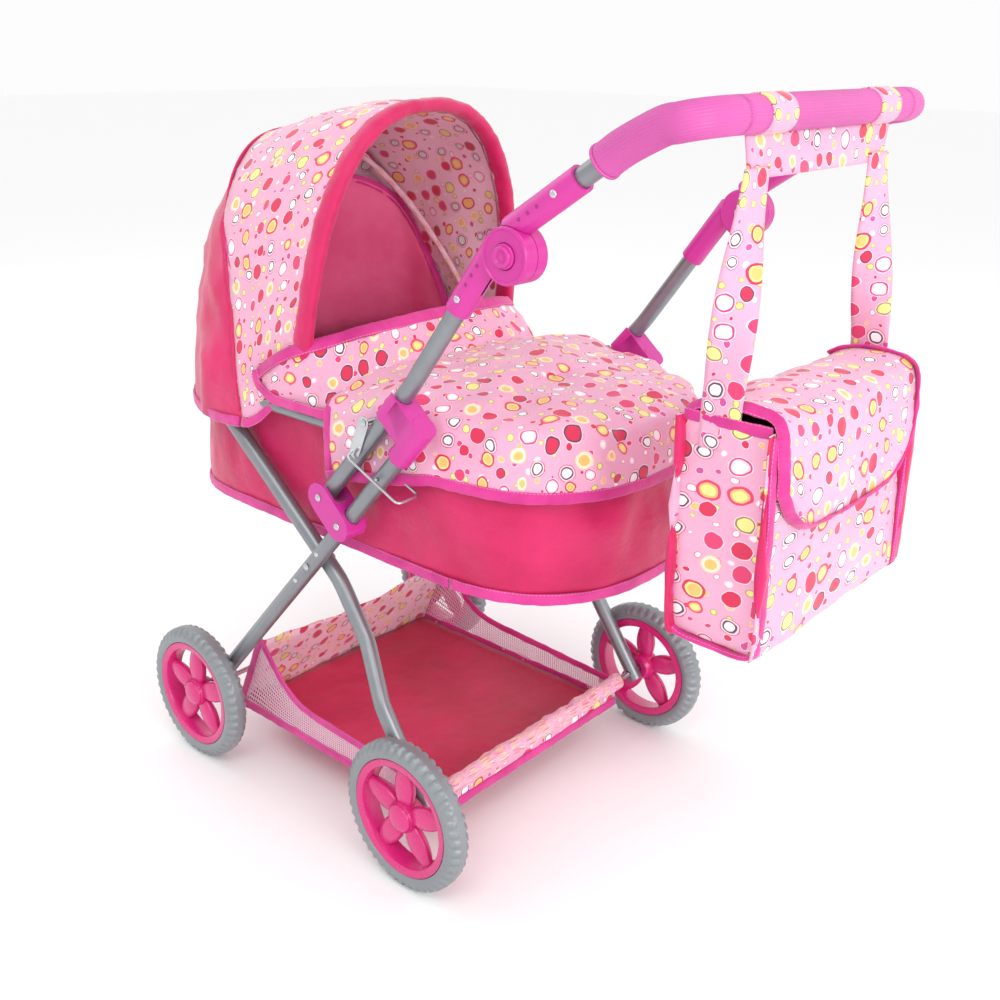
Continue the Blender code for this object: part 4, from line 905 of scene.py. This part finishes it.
def plan_normal(p, _=0):
    """Outward direction in plan at a point of the cot's wall."""
    y_front = COT_LOW.y + COT_ROUND_DEPTH
    y_rear = COT_HIGH.y - COT_ROUND_DEPTH
    y_near = min(max(p.y, y_front), y_rear)
    return Vector((p.x, (p.y - y_near) * 1.05, 0.0)).normalized()


def cot_body():
    """The hanging nylon tub with its lining, the same pink nylon darkened as painted shade, and the tape
    round its floor.
    """
    top = COT_HIGH.z
    low = COT_LOW.z
    count = 120
    rows = []
    for t, grow in ((0.0, 0.0002), (0.08, 0.0012), (0.2, 0.0026), (0.4, 0.0040), (0.6, 0.0044), (0.8, 0.0034),
                    (0.93, 0.0024), (1.0, 0.0016)):
        rows.append(cot_loop(grow, top + (low + 0.004 - top) * t, count))
    floor_z = low + 0.0025
    for shrink in (0.004, 0.020, 0.055, 0.100, 0.128):
        rows.append(drawn_in(shrink, floor_z, count))
    rows.append([Vector((0.0, (COT_LOW.y + COT_HIGH.y) / 2, floor_z))] * count)

    def loose(co):
        height = (co.z - low) / (top - low)
        return max(0.0, math.sin(math.pi * min(1.0, max(0.0, height)))) ** 0.7

    middle = (COT_LOW + COT_HIGH) / 2
    # the inside of the tub takes the darker nylon: painted shade
    body = cloth_panel("cot_fabric", rows, ["nylon", "nylon_painted_shade"], middle, closed=True,
                       waves=[(0.0065, 0.06), (0.0032, 0.026), (0.0012, 0.011)], seed=3.0, weight=loose,
                       weld=True)
    hem = binding("cot_floor_tape", cot_loop(0.0030, low + 0.0035, 200), plan_normal, closed=True)
    for piece in (body, hem):
        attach(piece, "cot")
    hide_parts("cot_shell")


def mattress():
    """A thin quilted pad on the base board."""
    low = COT_LOW.z + 0.0095
    count = 72
    rows = [drawn_in(shrink, low + rise, count) for shrink, rise in (
        (0.125, 0.0), (0.06, 0.0), (0.012, 0.0), (0.0095, 0.004), (0.0110, 0.008), (0.018, 0.0105),
        (0.050, 0.0120), (0.090, 0.0125), (0.125, 0.0125))]
    bm, verts = grid_bm(rows, closed=True)
    bm.faces.new(list(reversed(verts[0])))
    bm.faces.new(verts[-1])
    middle = Vector((0.0, (COT_LOW.y + COT_HIGH.y) / 2, low + 0.005))
    pad = facing(link_mesh("mattress", bm, "print"), middle)
    rumple(pad, [(0.0012, 0.03)], 5.0, lambda co: 1.0 if co.z > low + 0.006 else 0.0)
    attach(pad, "cot")


# ---------------------------------------------------------------- foot cover
def apron():
    """The padded cover over the foot of the cot, with a skirt outside the tub and its rails."""
    edge = COT_HIGH.z + 0.030
    half = [at(x, y, 0.0) for x, y in (
        (0.1592, 0.031), (0.1594, 0.075), (0.1590, 0.106), (0.1520, 0.134), (0.1450, 0.158), (0.1395, 0.190),
        (0.1310, 0.222), (0.1110, 0.254), (0.0700, 0.281), (0.0300, 0.2895), (0.0, 0.2905))]
    count = 81
    loop = smooth_path(mirrored(half), count)
    centre_y = MID_Y + 0.165
    out = []
    for k, p in enumerate(loop):
        tangent = loop[min(count - 1, k + 1)] - loop[max(0, k - 1)]
        out.append(Vector((tangent.y, -tangent.x, 0.0)).normalized())
    if out[0].x < 0.0:
        out = [-n for n in out]

    def hem_z(p):
        ahead = min(1.0, max(0.0, (p.y - MID_Y - 0.031) / 0.12))
        return COT_HIGH.z - 0.047 + 0.024 * ahead ** 0.8

    def edge_z(p):
        ahead = min(1.0, max(0.0, (p.y - MID_Y - 0.031) / 0.08))
        return edge - 0.004 + 0.010 * ahead - 0.010 * min(1.0, max(0.0, (p.y - MID_Y - 0.13) / 0.10))

    rows = []
    uv_rows = []
    for t, grow in ((0.0, 0.0006), (0.25, 0.0026), (0.6, 0.0030), (0.92, 0.0006)):
        row = []
        flat = []
        for p, n in zip(loop, out):
            low_z = hem_z(p)
            free = min(1.0, max(0.0, (p.y - MID_Y - 0.115) / 0.03))
            z = low_z + (edge_z(p) - low_z) * t
            row.append(Vector((p.x, p.y, z)) + n * (grow * (0.15 + 1.2 * free)))
            flat.append(p + n * (edge_z(p) - z))
        rows.append(row)
        uv_rows.append(flat)
    for t in (0.03, 0.09, 0.18, 0.30, 0.45, 0.63, 0.82, 1.0):
        row = []
        for p in loop:
            spine = Vector((0.0, min(p.y, centre_y), 0.0))
            q = Vector((p.x, p.y, 0.0)).lerp(spine, t)
            crown = 0.020 * math.sin(math.pi / 2 * min(1.0, t * 1.5)) ** 0.75
            row.append(Vector((q.x, q.y, edge_z(p) + 0.0025 + crown)))
        rows.append(row)
        uv_rows.append([Vector((r.x, r.y, 0.0)) for r in row])

    def cloth_uv(i, j):
        q = uv_rows[i][j % count]
        return (q.x, q.y)

    inside = Vector((0.0, MID_Y + 0.15, COT_LOW.z + 0.05))
    hem_path = [Vector((p.x, p.y, hem_z(p) + 0.003)) + n * 0.0024 for p, n in zip(loop, out)]
    still = away_from([hem_path, rows[-1]], 0.030)

    def loose(co):
        return still(co) * (min(1.0, 0.25 + max(0.0, (co.y - MID_Y - 0.10) / 0.05)) if co.z < edge else 1.0)

    cover = cloth_panel("foot_cover", rows, ["print", "print_inside"], inside, uv=cloth_uv,
                        waves=[(0.0070, 0.05), (0.0040, 0.022), (0.0014, 0.010)], seed=8.0, weight=loose,
                        thickness=0.0020, weld=True)
    hem = binding("foot_cover_hem", smooth_path(hem_path, 200), lambda p, i: plan_normal(p))
    sides = []
    for side, sign in SIDES:
        x = sign * (half[0].x + 0.0010)
        y = half[0].y
        low_z = hem_z(half[0])
        line = [Vector((x, y, low_z - 0.001)), Vector((x, y - 0.0005, low_z + 0.03)),
                Vector((x - sign * 0.001, y, edge - 0.012)),
                Vector((x - sign * 0.008, y + 0.001, edge - 0.002))]
        sides.append(binding(f"foot_cover_front_tape_{side}", smooth_path(line, 16), Vector((sign, 0.0, 0.0)),
                             width=0.009, thickness=0.0022))
    pieces = [cover, hem] + sides
    for piece in pieces:
        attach(piece, "cot")
    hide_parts("apron")


def wind_flap():
    """The raised front of the foot cover, wrapped round the foot of the hood on each side."""
    top_half = route((0.0, 0.014, 0.4890), (0.055, 0.014, 0.4885), (0.100, 0.010, 0.4860),
                     (0.128, -0.001, 0.4800), (0.1450, -0.018, 0.4735), (0.1540, -0.035, 0.4660),
                     (0.1570, -0.052, 0.4560), (0.1580, -0.072, 0.4420))
    low_half = route((0.0, 0.050, 0.4460), (0.055, 0.050, 0.4430), (0.100, 0.050, 0.4350),
                     (0.125, 0.050, 0.4270), (0.1440, 0.044, 0.4240), (0.1535, 0.020, 0.4200),
                     (0.1575, -0.020, 0.4205), (0.1580, -0.068, 0.4235))
    count = 27

    def whole(half):
        spread = smooth_path(half, count)
        return [Vector((-p.x, p.y, p.z)) for p in reversed(spread[1:])] + spread

    top = whole(top_half)
    low = whole(low_half)
    rows = []
    for i in range(7):
        t = i / 6
        row = []
        for a, b in zip(low, top):
            p = a.lerp(b, t)
            p.y += 0.008 * math.sin(math.pi * t) * max(0.0, 1.0 - abs(p.x) / 0.15)
            row.append(p)
        rows.append(row)
    inside = at(0.0, -0.06, 0.40)
    still = away_from([top], 0.022)
    flap = cloth_panel("wind_flap", rows, ["print", "print_inside"], inside,
                       waves=[(0.0060, 0.035), (0.0028, 0.014)], seed=12.0, thickness=0.0020, weight=still)
    edge_path = [p + Vector((0.0, 0.0006, -0.0010)) for p in smooth_path(top, 140)]
    edge = binding("wind_flap_tape", edge_path, lambda p, i: Vector((p.x * 6.0, 0.75 - abs(p.x) * 4.0, 0.55)),
                   width=0.0130, thickness=0.0042)
    ties = []
    for side, sign in SIDES:
        line = [at(sign * x, y, z) for x, y, z in (
            (0.1605, -0.074, 0.4440), (0.1610, -0.069, 0.4300), (0.1605, -0.045, 0.4200),
            (0.1600, -0.010, 0.4195), (0.1580, 0.020, 0.4190), (0.1500, 0.045, 0.4200))]
        ties.append(binding(f"wind_flap_tie_{side}", smooth_path(line, 40), Vector((sign, 0.0, 0.0)),
                            width=0.010))
    pieces = [flap, edge] + ties
    for piece in pieces:
        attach(piece, "cot")


# ---------------------------------------------------------------- hood
def hood_row(t, count=37):
    """Points across the printed hood: t = 0 at the rim, 1 at the seam."""
    half = HOOD_HALF - 0.004 * t
    height = (HOOD_TOP_Z - HOOD_EDGE_Z) - 0.036 * t * t
    y = HOOD_PIVOT.y - 0.089 * t
    lean = 0.030 - 0.112 * t
    points = []
    steps = 40
    for k in range(3, steps - 2):
        a = math.pi * k / steps
        x = half * math.copysign(abs(math.cos(a)) ** HOOD_POWER, math.cos(a))
        up = abs(math.sin(a)) ** HOOD_POWER
        points.append(Vector((x, y + lean * up ** (1.0 + 0.2 * t), HOOD_EDGE_Z + height * up)))
    drop = t * t * (3 - 2 * t)
    foot = Vector((HOOD_HALF + 0.0005 + 0.0165 * drop, y + 0.001 + 0.021 * drop,
                   HOOD_EDGE_Z + 0.002 - 0.040 * drop))
    knee = Vector((HOOD_HALF + 0.0008 + 0.0125 * drop, y + 0.009 * drop, HOOD_EDGE_Z + 0.016 - 0.020 * drop))
    left = [foot, knee]
    right = [Vector((-p.x, p.y, p.z)) for p in reversed(left)]
    return smooth_path(left + points + right, count)


HOOD_INSIDE = at(0.0, -0.09, 0.50)


def hood_canopy():
    """Printed canopy from rim to seam, with its padded rim, side hems and lining tapes."""
    rows = [hood_row(k / 8) for k in range(9)]

    def free(co):
        return 0.35 + 0.65 * min(1.0, max(0.0, (co.z - 0.43) / 0.08))

    # the canopy's inside takes the lightened reverse print: partly painted light
    canopy = cloth_panel("hood_print", rows, ["print", "print_inside"], HOOD_INSIDE,
                         waves=[(0.0050, 0.06), (0.0022, 0.022), (0.0008, 0.009)], seed=21.0, weight=free)
    centre = at(0.0, -0.02, 0.50)

    def from_centre(p, _=0):
        return Vector((p.x - centre.x, 0.0, (p.z - centre.z) * 0.8 + 0.02))

    rim_path = [p + Vector((0.0, -0.0005, 0.0)) - from_centre(p).normalized() * 0.0034
                for p in hood_row(0.0, 120)[3:-3]]
    rim_pad = sweep("hood_rim_pad", rim_path, oval(0.0225, 0.0138, 20, 0.85), "nylon", from_centre)
    rumple(rim_pad, [(0.0014, 0.016), (0.0008, 0.007)], 22.0)
    hem_path = [hood_row(k / 20)[0] + Vector((0.0014, 0.0, 0.003)) for k in range(21)]
    hems = []
    linings = []
    for side, sign in SIDES:
        line = [Vector((sign * p.x, p.y, p.z)) for p in hem_path]
        hems.append(binding(f"hood_hem_{side}", line, Vector((sign, 0.0, 0.25)), width=0.0095))
        inner_line = [at(sign * x, y, z) for x, y, z in (
            (0.1385, -0.026, 0.432), (0.1390, -0.024, 0.475), (0.1370, -0.016, 0.525),
            (0.1310, -0.006, 0.580))]
        linings.append(binding(f"hood_lining_tape_{side}", smooth_path(inner_line, 40),
                               Vector((-sign, 0.3, 0.0)), width=0.0110, thickness=0.0020))
    for piece in [canopy] + hems:
        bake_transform(piece)
    for piece in [rim_pad] + linings:
        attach(piece, "hood_front")
    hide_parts("hood_canopy")


def hood_back():
    """Plain back panel from the seam down outside the cot, with its hem and the seam's piping."""
    count = 41
    seam = hood_row(1.0, count)
    foot_half = [seam[0] + Vector((0.0, -0.004, -0.0006))] + route(
        (0.1655, -0.122, 0.3825), (0.1600, -0.155, 0.3810), (0.1480, -0.190, 0.3805),
        (0.1290, -0.223, 0.3815), (0.1010, -0.249, 0.3830), (0.0500, -0.2635, 0.3845),
        (0.0, -0.2660, 0.3850))
    foot = smooth_path(mirrored(foot_half), count)
    rows = []
    for i in range(11):
        t = i / 10
        row = []
        for k, (p, q) in enumerate(zip(seam, foot)):
            swell = math.sin(math.pi * t) * math.sin(math.pi * k / (count - 1)) ** 0.9
            r = p.lerp(q, t)
            r.y -= 0.036 * swell
            r.z += 0.016 * swell
            if r.y > MID_Y - 0.172 and r.z < 0.450:
                clear = 0.1625 - 0.25 * max(0.0, r.z - 0.425)
                r.x = math.copysign(max(abs(r.x), clear), r.x)
            row.append(r)
        rows.append(row)

    def held(co):
        return min(1.0, max(0.12, (co.z - 0.39) / 0.06))

    # the back panel's inside takes the lightened reverse print: partly painted light
    back = cloth_panel("hood_back_plain", rows, ["nylon", "print_inside"], HOOD_INSIDE,
                       waves=[(0.0080, 0.07), (0.0035, 0.028), (0.0012, 0.011)], seed=24.0, weight=held)
    hem_line = [p + Vector((p.x * 0.006, -0.0006, 0.0025)) for p in smooth_path(mirrored(foot_half), 160)]
    back_hem = binding("hood_back_hem", hem_line, plan_normal)
    piping = sweep("hood_seam", [p + Vector((0.0, -0.0004, 0.0006)) for p in hood_row(1.0, 110)[2:-2]],
                   oval(0.0034, 0.0028, 8), "nylon")
    hang_behind([back])
    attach(piping, "hood_middle")
    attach(back_hem, "cot")
    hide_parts("hood_back")


def hood_inside():
    """The arched panel that closes the hood's back inside, its pink lightened as painted light, and its tape.
    """
    count = 41
    arch_half = route((0.1335, -0.096, 0.432), (0.1340, -0.106, 0.470), (0.1320, -0.130, 0.515),
                      (0.1260, -0.152, 0.553), (0.1050, -0.164, 0.583), (0.0600, -0.171, 0.603),
                      (0.0, -0.174, 0.610))
    arch = smooth_path(mirrored(arch_half), count)
    rows = []
    for i in range(6):
        t = i / 5
        row = []
        for k, p in enumerate(arch):
            bulge = math.sin(math.pi * k / (count - 1))
            base = Vector((p.x * 0.985, MID_Y - 0.100 - 0.075 * bulge, 0.4305))
            q = p.lerp(base, t)
            q.y -= 0.012 * math.sin(math.pi * t) * bulge
            row.append(q)
        rows.append(row)
    # the panel's pink is lightened: painted light inside the hood
    inner = cloth_panel("hood_inner_panel", rows, ["inner_pink_painted_light", "inner_pink_painted_light"], at(0.0, 0.2, 0.5),
                        waves=[(0.0060, 0.06), (0.0026, 0.025)], seed=27.0,
                        weight=lambda co: min(1.0, max(0.1, (0.62 - co.z) / 0.1)))
    inner_tape = binding("hood_inner_tape", smooth_path(mirrored(arch_half), 120), Vector((0.0, 1.0, 0.1)),
                         width=0.0100, thickness=0.0022)
    hang_behind([inner, inner_tape])


def hang_behind(pieces):
    """Bake the cloth's placing into its mesh; the cloth hangs between the cot and the middle bow."""
    for piece in pieces:
        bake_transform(piece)


def bow_sleeve():
    """The cloth tunnel sewn round the middle bow."""
    lean = math.atan2(0.175, 0.246)
    up_bow = Vector((0.0, -math.sin(lean), math.cos(lean)))
    path = []
    for k in range(41):
        a = math.pi * (0.035 + 0.93 * k / 40)
        x = 0.1359 * math.copysign(abs(math.cos(a)) ** HOOD_POWER, math.cos(a))
        q = HOOD_PIVOT + up_bow * (0.2901 * abs(math.sin(a)) ** HOOD_POWER)
        path.append(Vector((x, q.y, q.z)))
    sleeve = sweep("hood_bow_sleeve", smooth_path(path, 110), oval(0.0068, 0.0068, 12), "print_inside")
    rumple(sleeve, [(0.0008, 0.012)], 29.0)
    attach(sleeve, "hood_middle")


# ---------------------------------------------------------------- basket
def basket():
    """A tray: floor of pink nylon darkened as painted shade, printed ends, netting sides and tape along every
    edge.
    """
    low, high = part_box("basket")
    half = high.x
    front = low.y
    rear = high.y
    floor_z = low.z

    def share(y):
        return (y - front) / (rear - front)

    def side_top(y):
        side = 0.040 - 0.014 * share(y)
        return floor_z + side + (0.092 - side) * max(0.0, 1.0 - share(y) / 0.4) ** 1.6

    def lean(y):
        return 0.040 * max(0.0, 1.0 - share(y) / 0.3)

    def upright(x, y, t):
        """A point t of the way up the basket's wall."""
        return Vector((x, y + lean(y) * t, floor_z + (side_top(y) - floor_z) * t))

    ys = [front + (rear - front) * k / 12 for k in range(13)]
    xs = [-half + 2 * half * k / 14 for k in range(15)]
    inside = Vector((0.0, (front + rear) / 2, floor_z + 0.05))
    floor_rows = []
    for y in ys:
        dip = [0.0022 * math.cos(math.pi * x / (2 * half)) * math.sin(math.pi * share(y)) for x in xs]
        floor_rows.append([Vector((x * 0.985, y, floor_z + 0.0028 - d)) for x, d in zip(xs, dip)])
    # the floor's top, under the cot, takes the darker nylon: painted shade
    floor = cloth_panel("basket_floor", floor_rows, ["nylon_painted_shade", "nylon"], inside - Vector((0.0, 0.0, 0.2)),
                        waves=[(0.0010, 0.03)], seed=31.0)
    front_rows = []
    for i in range(6):
        t = i / 5
        row = []
        for x in xs:
            scallop = 0.010 * math.cos(math.pi * x / (2 * half)) * t
            top = side_top(front) - scallop
            row.append(Vector((x, front + lean(front) * t - 0.001 * (1 - t), floor_z + (top - floor_z) * t)))
        front_rows.append(row)
    front_wall = cloth_panel("basket_front_wall", front_rows, ["print", "print_inside"], inside,
                             waves=[(0.0035, 0.03), (0.0014, 0.012)], seed=32.0)
    rear_rows = []
    for i in range(4):
        z = floor_z + (REAR_AXLE.z - floor_z) * i / 3
        rear_rows.append([Vector((x, rear - 0.0005, z)) for x in xs])
    rear_wall = cloth_panel("basket_rear_wall", rear_rows, ["print", "print_inside"], inside,
                            waves=[(0.0014, 0.02)], seed=33.0)
    panels = [floor, front_wall, rear_wall]
    tapes = []
    for side, sign in SIDES:
        rows = [[upright(sign * half, y, i / 4) for y in ys] for i in range(5)]
        panels.append(cloth_panel(f"basket_net_{side}", rows, "net", inside, waves=[(0.0015, 0.03)],
                                  seed=34.0, thickness=0.0006))
        top_line = [upright(sign * half, y, 1.0) for y in ys]
        low_line = [Vector((sign * half, y, floor_z + 0.003)) for y in ys]
        corner = [upright(sign * half, front, i / 4) + Vector((0.0, -0.001, 0.0)) for i in range(5)]
        out = Vector((sign, 0.0, 0.0))
        tapes.append(binding(f"basket_top_tape_{side}", smooth_path(top_line, 60), out, width=0.008))
        tapes.append(binding(f"basket_low_tape_{side}", smooth_path(low_line, 60), out, width=0.010))
        tapes.append(binding(f"basket_corner_tape_{side}", smooth_path(corner, 20), out, width=0.009))
        snap = Vector((sign * (half - 0.002), front + 0.035, floor_z + 0.062))
        dome(f"basket_snap_{side}", snap, -out, 0.006, 0.002, "net", "front_frame")
    rear_out = Vector((0.0, 1.0, 0.0))
    for end, y, out in (("rear", rear, rear_out), ("front", front - 0.001, -rear_out)):
        line = [Vector((x, y, floor_z + 0.003)) for x in xs]
        tapes.append(binding(f"basket_{end}_low_tape", smooth_path(line, 60), out, width=0.010))
    rod = [Vector((x * 0.97, REAR_AXLE.y, REAR_AXLE.z)) for x in xs]
    sleeve = sweep("basket_rear_sleeve", smooth_path(rod, 90), oval(0.0150, 0.0170, 16), "print",
                   Vector((0.0, 0.0, 1.0)))
    rumple(sleeve, [(0.0026, 0.014), (0.0012, 0.006)], 36.0)
    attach(sleeve, "rear_legs")
    end = Vector((0.0, rear - 0.02, 0.0))
    for piece in panels + tapes:
        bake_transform(piece)
    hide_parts("basket")


# ---------------------------------------------------------------- bag
BAG_LOW, BAG_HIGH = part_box("bag_body")
BAG_MIDDLE = (BAG_LOW + BAG_HIGH) / 2


def bag_plan(shrink, z):
    """The bag's outline at height z, drawn in by shrink."""
    half = BAG_HIGH.x
    corner = 0.006
    points = []
    for cx, cy, quarter in ((half - corner, BAG_HIGH.y - corner, 0), (-half + corner, BAG_HIGH.y - corner, 1),
                            (-half + corner, BAG_LOW.y + corner, 2), (half - corner, BAG_LOW.y + corner, 3)):
        for k in range(5):
            a = math.pi / 2 * (quarter + k / 4)
            r = corner - shrink
            points.append(Vector((cx + r * math.cos(a), cy + r * math.sin(a), z)))
    return smooth_path(points, 96, closed=True)


def bag_box():
    """The soft box, its edge tapes and the tapes round its mouth."""
    half = BAG_HIGH.x
    front = BAG_LOW.y
    rear = BAG_HIGH.y
    bottom = BAG_LOW.z
    top = BAG_HIGH.z
    middle = BAG_MIDDLE
    rows = []
    for t, shrink in ((0.0, 0.0), (0.06, 0.0), (0.2, 0.0005), (0.4, 0.0), (0.6, -0.0008), (0.8, -0.0008),
                      (0.95, 0.0002), (0.985, 0.0016), (1.0, 0.0040)):
        rows.append(bag_plan(shrink, top + (bottom - top) * t))
    rim = rows[-1]
    floor_z = bottom - 0.0002
    for inwards in (0.4, 0.7, 0.92):
        rows.append([Vector((p.x + (middle.x - p.x) * inwards, p.y + (middle.y - p.y) * inwards, floor_z))
                     for p in rim])
    rows.append([Vector((0.0, middle.y, floor_z))] * len(rim))

    def loose(co):
        height = min(1.0, max(0.0, (co.z - bottom) / (top - bottom)))
        return 0.4 + 0.6 * math.sin(math.pi * height)

    shell = cloth_panel("bag_shell", rows, ["print", "nylon"], middle, closed=True,
                        waves=[(0.0060, 0.06), (0.0026, 0.025)], seed=41.0, weight=loose, weld=True)

    def away(p, _):
        return Vector((0.0, p.y - middle.y, (p.z - middle.z) * 0.35))

    tapes = []
    for side, sign in SIDES:
        x = sign * (half - 0.001)
        outline = [Vector((x, y, z)) for y, z in (
            (front - 0.001, top - 0.002), (front - 0.0015, middle.z), (front, bottom + 0.012),
            (front + 0.0035, bottom + 0.0035), (front + 0.014, bottom), (middle.y, bottom - 0.001),
            (rear - 0.014, bottom), (rear - 0.0035, bottom + 0.0035), (rear, bottom + 0.012),
            (rear + 0.0015, middle.z), (rear + 0.001, top - 0.002))]
        path = smooth_path(outline, 90)
        path = [p + Vector((0.0008 * math.sin(i * 0.4), 0.0, 0.0)) for i, p in enumerate(path)]
        tapes.append(binding(f"bag_edge_tape_{side}", path, away, width=0.0095, thickness=0.0034, seed=43.0))
        mouth = [Vector((sign * x, y, top)) for x, y in (
            (half - 0.0005, front + 0.002), (half + 0.0004, middle.y), (half - 0.0005, rear - 0.002))]
        tapes.append(binding(f"bag_mouth_tape_{side}", smooth_path(mouth, 30), Vector((sign, 0.0, 0.0)),
                             width=0.009, seed=44.0))
    for piece in [shell] + tapes:
        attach(piece, "bag")
    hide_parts("bag_body")


def bag_cover():
    """The cover sheet, from the back edge over the mouth and down the front, with its tape."""
    front = BAG_LOW.y
    rear = BAG_HIGH.y
    top = BAG_HIGH.z
    middle = BAG_MIDDLE
    half = BAG_HIGH.x - 0.0045
    line = [Vector((0.0, y, z)) for y, z in (
        (front + 0.001, top + 0.002), (front + 0.012, top + 0.0085), (middle.y - 0.005, top + 0.0130),
        (rear - 0.014, top + 0.0105), (rear + 0.002, top + 0.001), (rear + 0.006, top - 0.030),
        (rear + 0.0065, top - 0.060), (rear + 0.0065, top - 0.086))]
    centre_line = smooth_path(line, 22)
    rows = []
    for i, p in enumerate(centre_line):
        v = i / (len(centre_line) - 1)
        reach = half * (1.0 - 0.10 * max(0.0, v - 0.55) ** 1.2)
        row = []
        for k in range(23):
            u = -1.0 + 2.0 * k / 22
            lift = 0.040 * abs(u) ** 5 * v ** 3
            sag = 0.004 * (1.0 - u * u) * math.sin(math.pi * min(1.0, v * 2.0))
            row.append(Vector((reach * u, p.y, p.z + lift - sag)))
        rows.append(row)
    # the sheet's underside takes the darker nylon: painted shade
    sheet = cloth_panel("bag_cover_sheet", rows, ["print", "nylon_painted_shade"], middle,
                        waves=[(0.0030, 0.04), (0.0014, 0.016)], seed=46.0, thickness=0.0018)
    edge = [row[0] for row in rows[:-1]] + rows[-1] + [row[-1] for row in reversed(rows[:-1])]
    edge_tape = binding("bag_cover_tape", smooth_path(edge, 200),
                        lambda p, i: Vector((p.x * 0.4, p.y - middle.y, (p.z - top + 0.03) * 1.2)),
                        width=0.0095, seed=47.0)
    for piece in (sheet, edge_tape):
        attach(piece, "bag_cover")
    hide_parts("bag_flap")


def bag_straps():
    """The yoke under the bar, a loop round the grip on each side, and the two long straps."""
    hold = 0.0145
    yoke_half = 0.112
    loop_x = 0.084
    strap_half = 0.0166
    yoke_rows = []
    for i in range(6):
        reach = yoke_half * (1.0 - 0.015 * i)
        z = BAR.z - hold + 0.001 - 0.031 * i / 5
        yoke_rows.append([Vector((reach * (-1 + 2 * k / 20), BAR.y + 0.0004, z)) for k in range(21)])
    yoke = cloth_panel("bag_yoke", yoke_rows, "print", BAR - Vector((0.0, 1.0, 0.0)), waves=[(0.0012, 0.03)],
                       seed=48.0, thickness=0.0018)
    straps = [yoke]
    first = Vector((yoke_half - 0.0165, BAR.y + 0.0018, BAR.z - hold - 0.022))
    last = Vector((BAG_HIGH.x + 0.0012, BAG_LOW.y + (BAG_HIGH.y - BAG_LOW.y) * 0.42, BAG_HIGH.z - 0.022))
    for side, sign in SIDES:
        rows = []
        for k in range(37):
            a = 2 * math.pi * (k % 36) / 36
            y = BAR.y + hold * math.sin(a)
            z = BAR.z + hold * math.cos(a)
            rows.append([Vector((sign * (loop_x + w), y, z)) for w in (-0.017, -0.0085, 0.0, 0.0085, 0.017)])
        straps.append(cloth_panel(f"bag_loop_{side}", rows, "print", Vector((sign * loop_x, BAR.y, BAR.z)),
                                  levels=0, thickness=0.0014))
        rows = []
        steps = 26
        for k in range(steps + 1):
            t = k / steps
            ease = t * t * (3 - 2 * t)
            centre = first.lerp(last, t)
            centre.x = first.x + (last.x - first.x) * min(1.0, t * 1.2)
            turn = sign * math.pi / 2 * min(1.0, ease * 1.15)
            wide = Vector((math.cos(turn), -math.sin(turn), 0.0))
            row = [centre + wide * (strap_half * w) for w in (-1.0, -0.5, 0.0, 0.5, 1.0)]
            rows.append([Vector((sign * q.x, q.y, q.z)) for q in row])
        straps.append(cloth_panel(f"bag_strap_{side}", rows, "print", Vector((0.0, BAR.y - 0.2, 0.55)),
                                  waves=[(0.0008, 0.03)], seed=49.0, thickness=0.0016))
    for strap in straps:
        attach(strap, "bag")
    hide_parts("bag_strap")


# ---------------------------------------------------------------- studio
CAMERA_AIM = Vector((-0.7179, -0.6336, -0.2885))
CAMERA_PLACE = at(0.8411, 0.8439, 0.7535)
CAMERA_ROLL = 0.80
CAMERA_LENS = 43.12
CAMERA_SHIFT = -0.10


def pale_floor():
    """A wide, nearly white floor."""
    bm = bmesh.new()
    bmesh.ops.create_grid(bm, x_segments=2, y_segments=2, size=14.0)
    shader = Shader("pale_floor", (0.965, 0.965, 0.968, 1.0), 0.7)
    shader.set("Roughness", shader.math("ADD", shader.math("MULTIPLY", shader.noise(3.0), 0.1), 0.65))
    MAT["floor"] = shader.material
    floor = link_mesh("floor", bm, "floor", smooth=False)
    floor.location.z = -0.0002


def lights():
    """A white surround and four soft lamps."""
    world = bpy.data.worlds.new("studio")
    world.use_nodes = True
    background = world.node_tree.nodes["Background"]
    background.inputs["Color"].default_value = (1.0, 1.0, 1.0, 1.0)
    background.inputs["Strength"].default_value = 0.98
    bpy.context.scene.world = world
    target = Vector((0.0, 0.0, 0.35))
    for name, place, size, power in (
        ("key", (1.6, 0.9, 2.3), 1.2, 15.0),
        ("fill", (-1.8, 1.6, 1.5), 1.8, 7.0),
        ("front", (0.5, 2.2, 1.0), 1.2, 20.0),
        ("back", (0.3, -2.2, 1.9), 1.6, 8.0),
    ):
        light = bpy.data.lights.new(name, "AREA")
        light.size = size
        light.energy = power
        lamp = bpy.data.objects.new(name, light)
        bpy.context.scene.collection.objects.link(lamp)
        lamp.location = place
        lamp.rotation_euler = (target - Vector(place)).to_track_quat("-Z", "Y").to_euler()


def camera():
    """The camera, above and behind the handle's near side."""
    lens = bpy.data.cameras.new("camera")
    lens.lens = CAMERA_LENS
    lens.sensor_width = 36.0
    lens.shift_y = CAMERA_SHIFT
    eye = bpy.data.objects.new("camera", lens)
    bpy.context.scene.collection.objects.link(eye)
    eye.location = CAMERA_PLACE
    aim = CAMERA_AIM.normalized().to_track_quat("-Z", "Y").to_matrix().to_4x4()
    eye.rotation_euler = (aim @ Matrix.Rotation(math.radians(CAMERA_ROLL), 4, "Z")).to_euler()
    bpy.context.scene.camera = eye
    bpy.context.scene.view_settings.view_transform = "Standard"


pale_floor()
lights()
camera()
hard_parts()
wheels()
grip()
fitting_details()
cot_body()
mattress()
apron()
wind_flap()
hood_canopy()
hood_back()
hood_inside()
bow_sleeve()
basket()
bag_box()
bag_cover()
bag_straps()
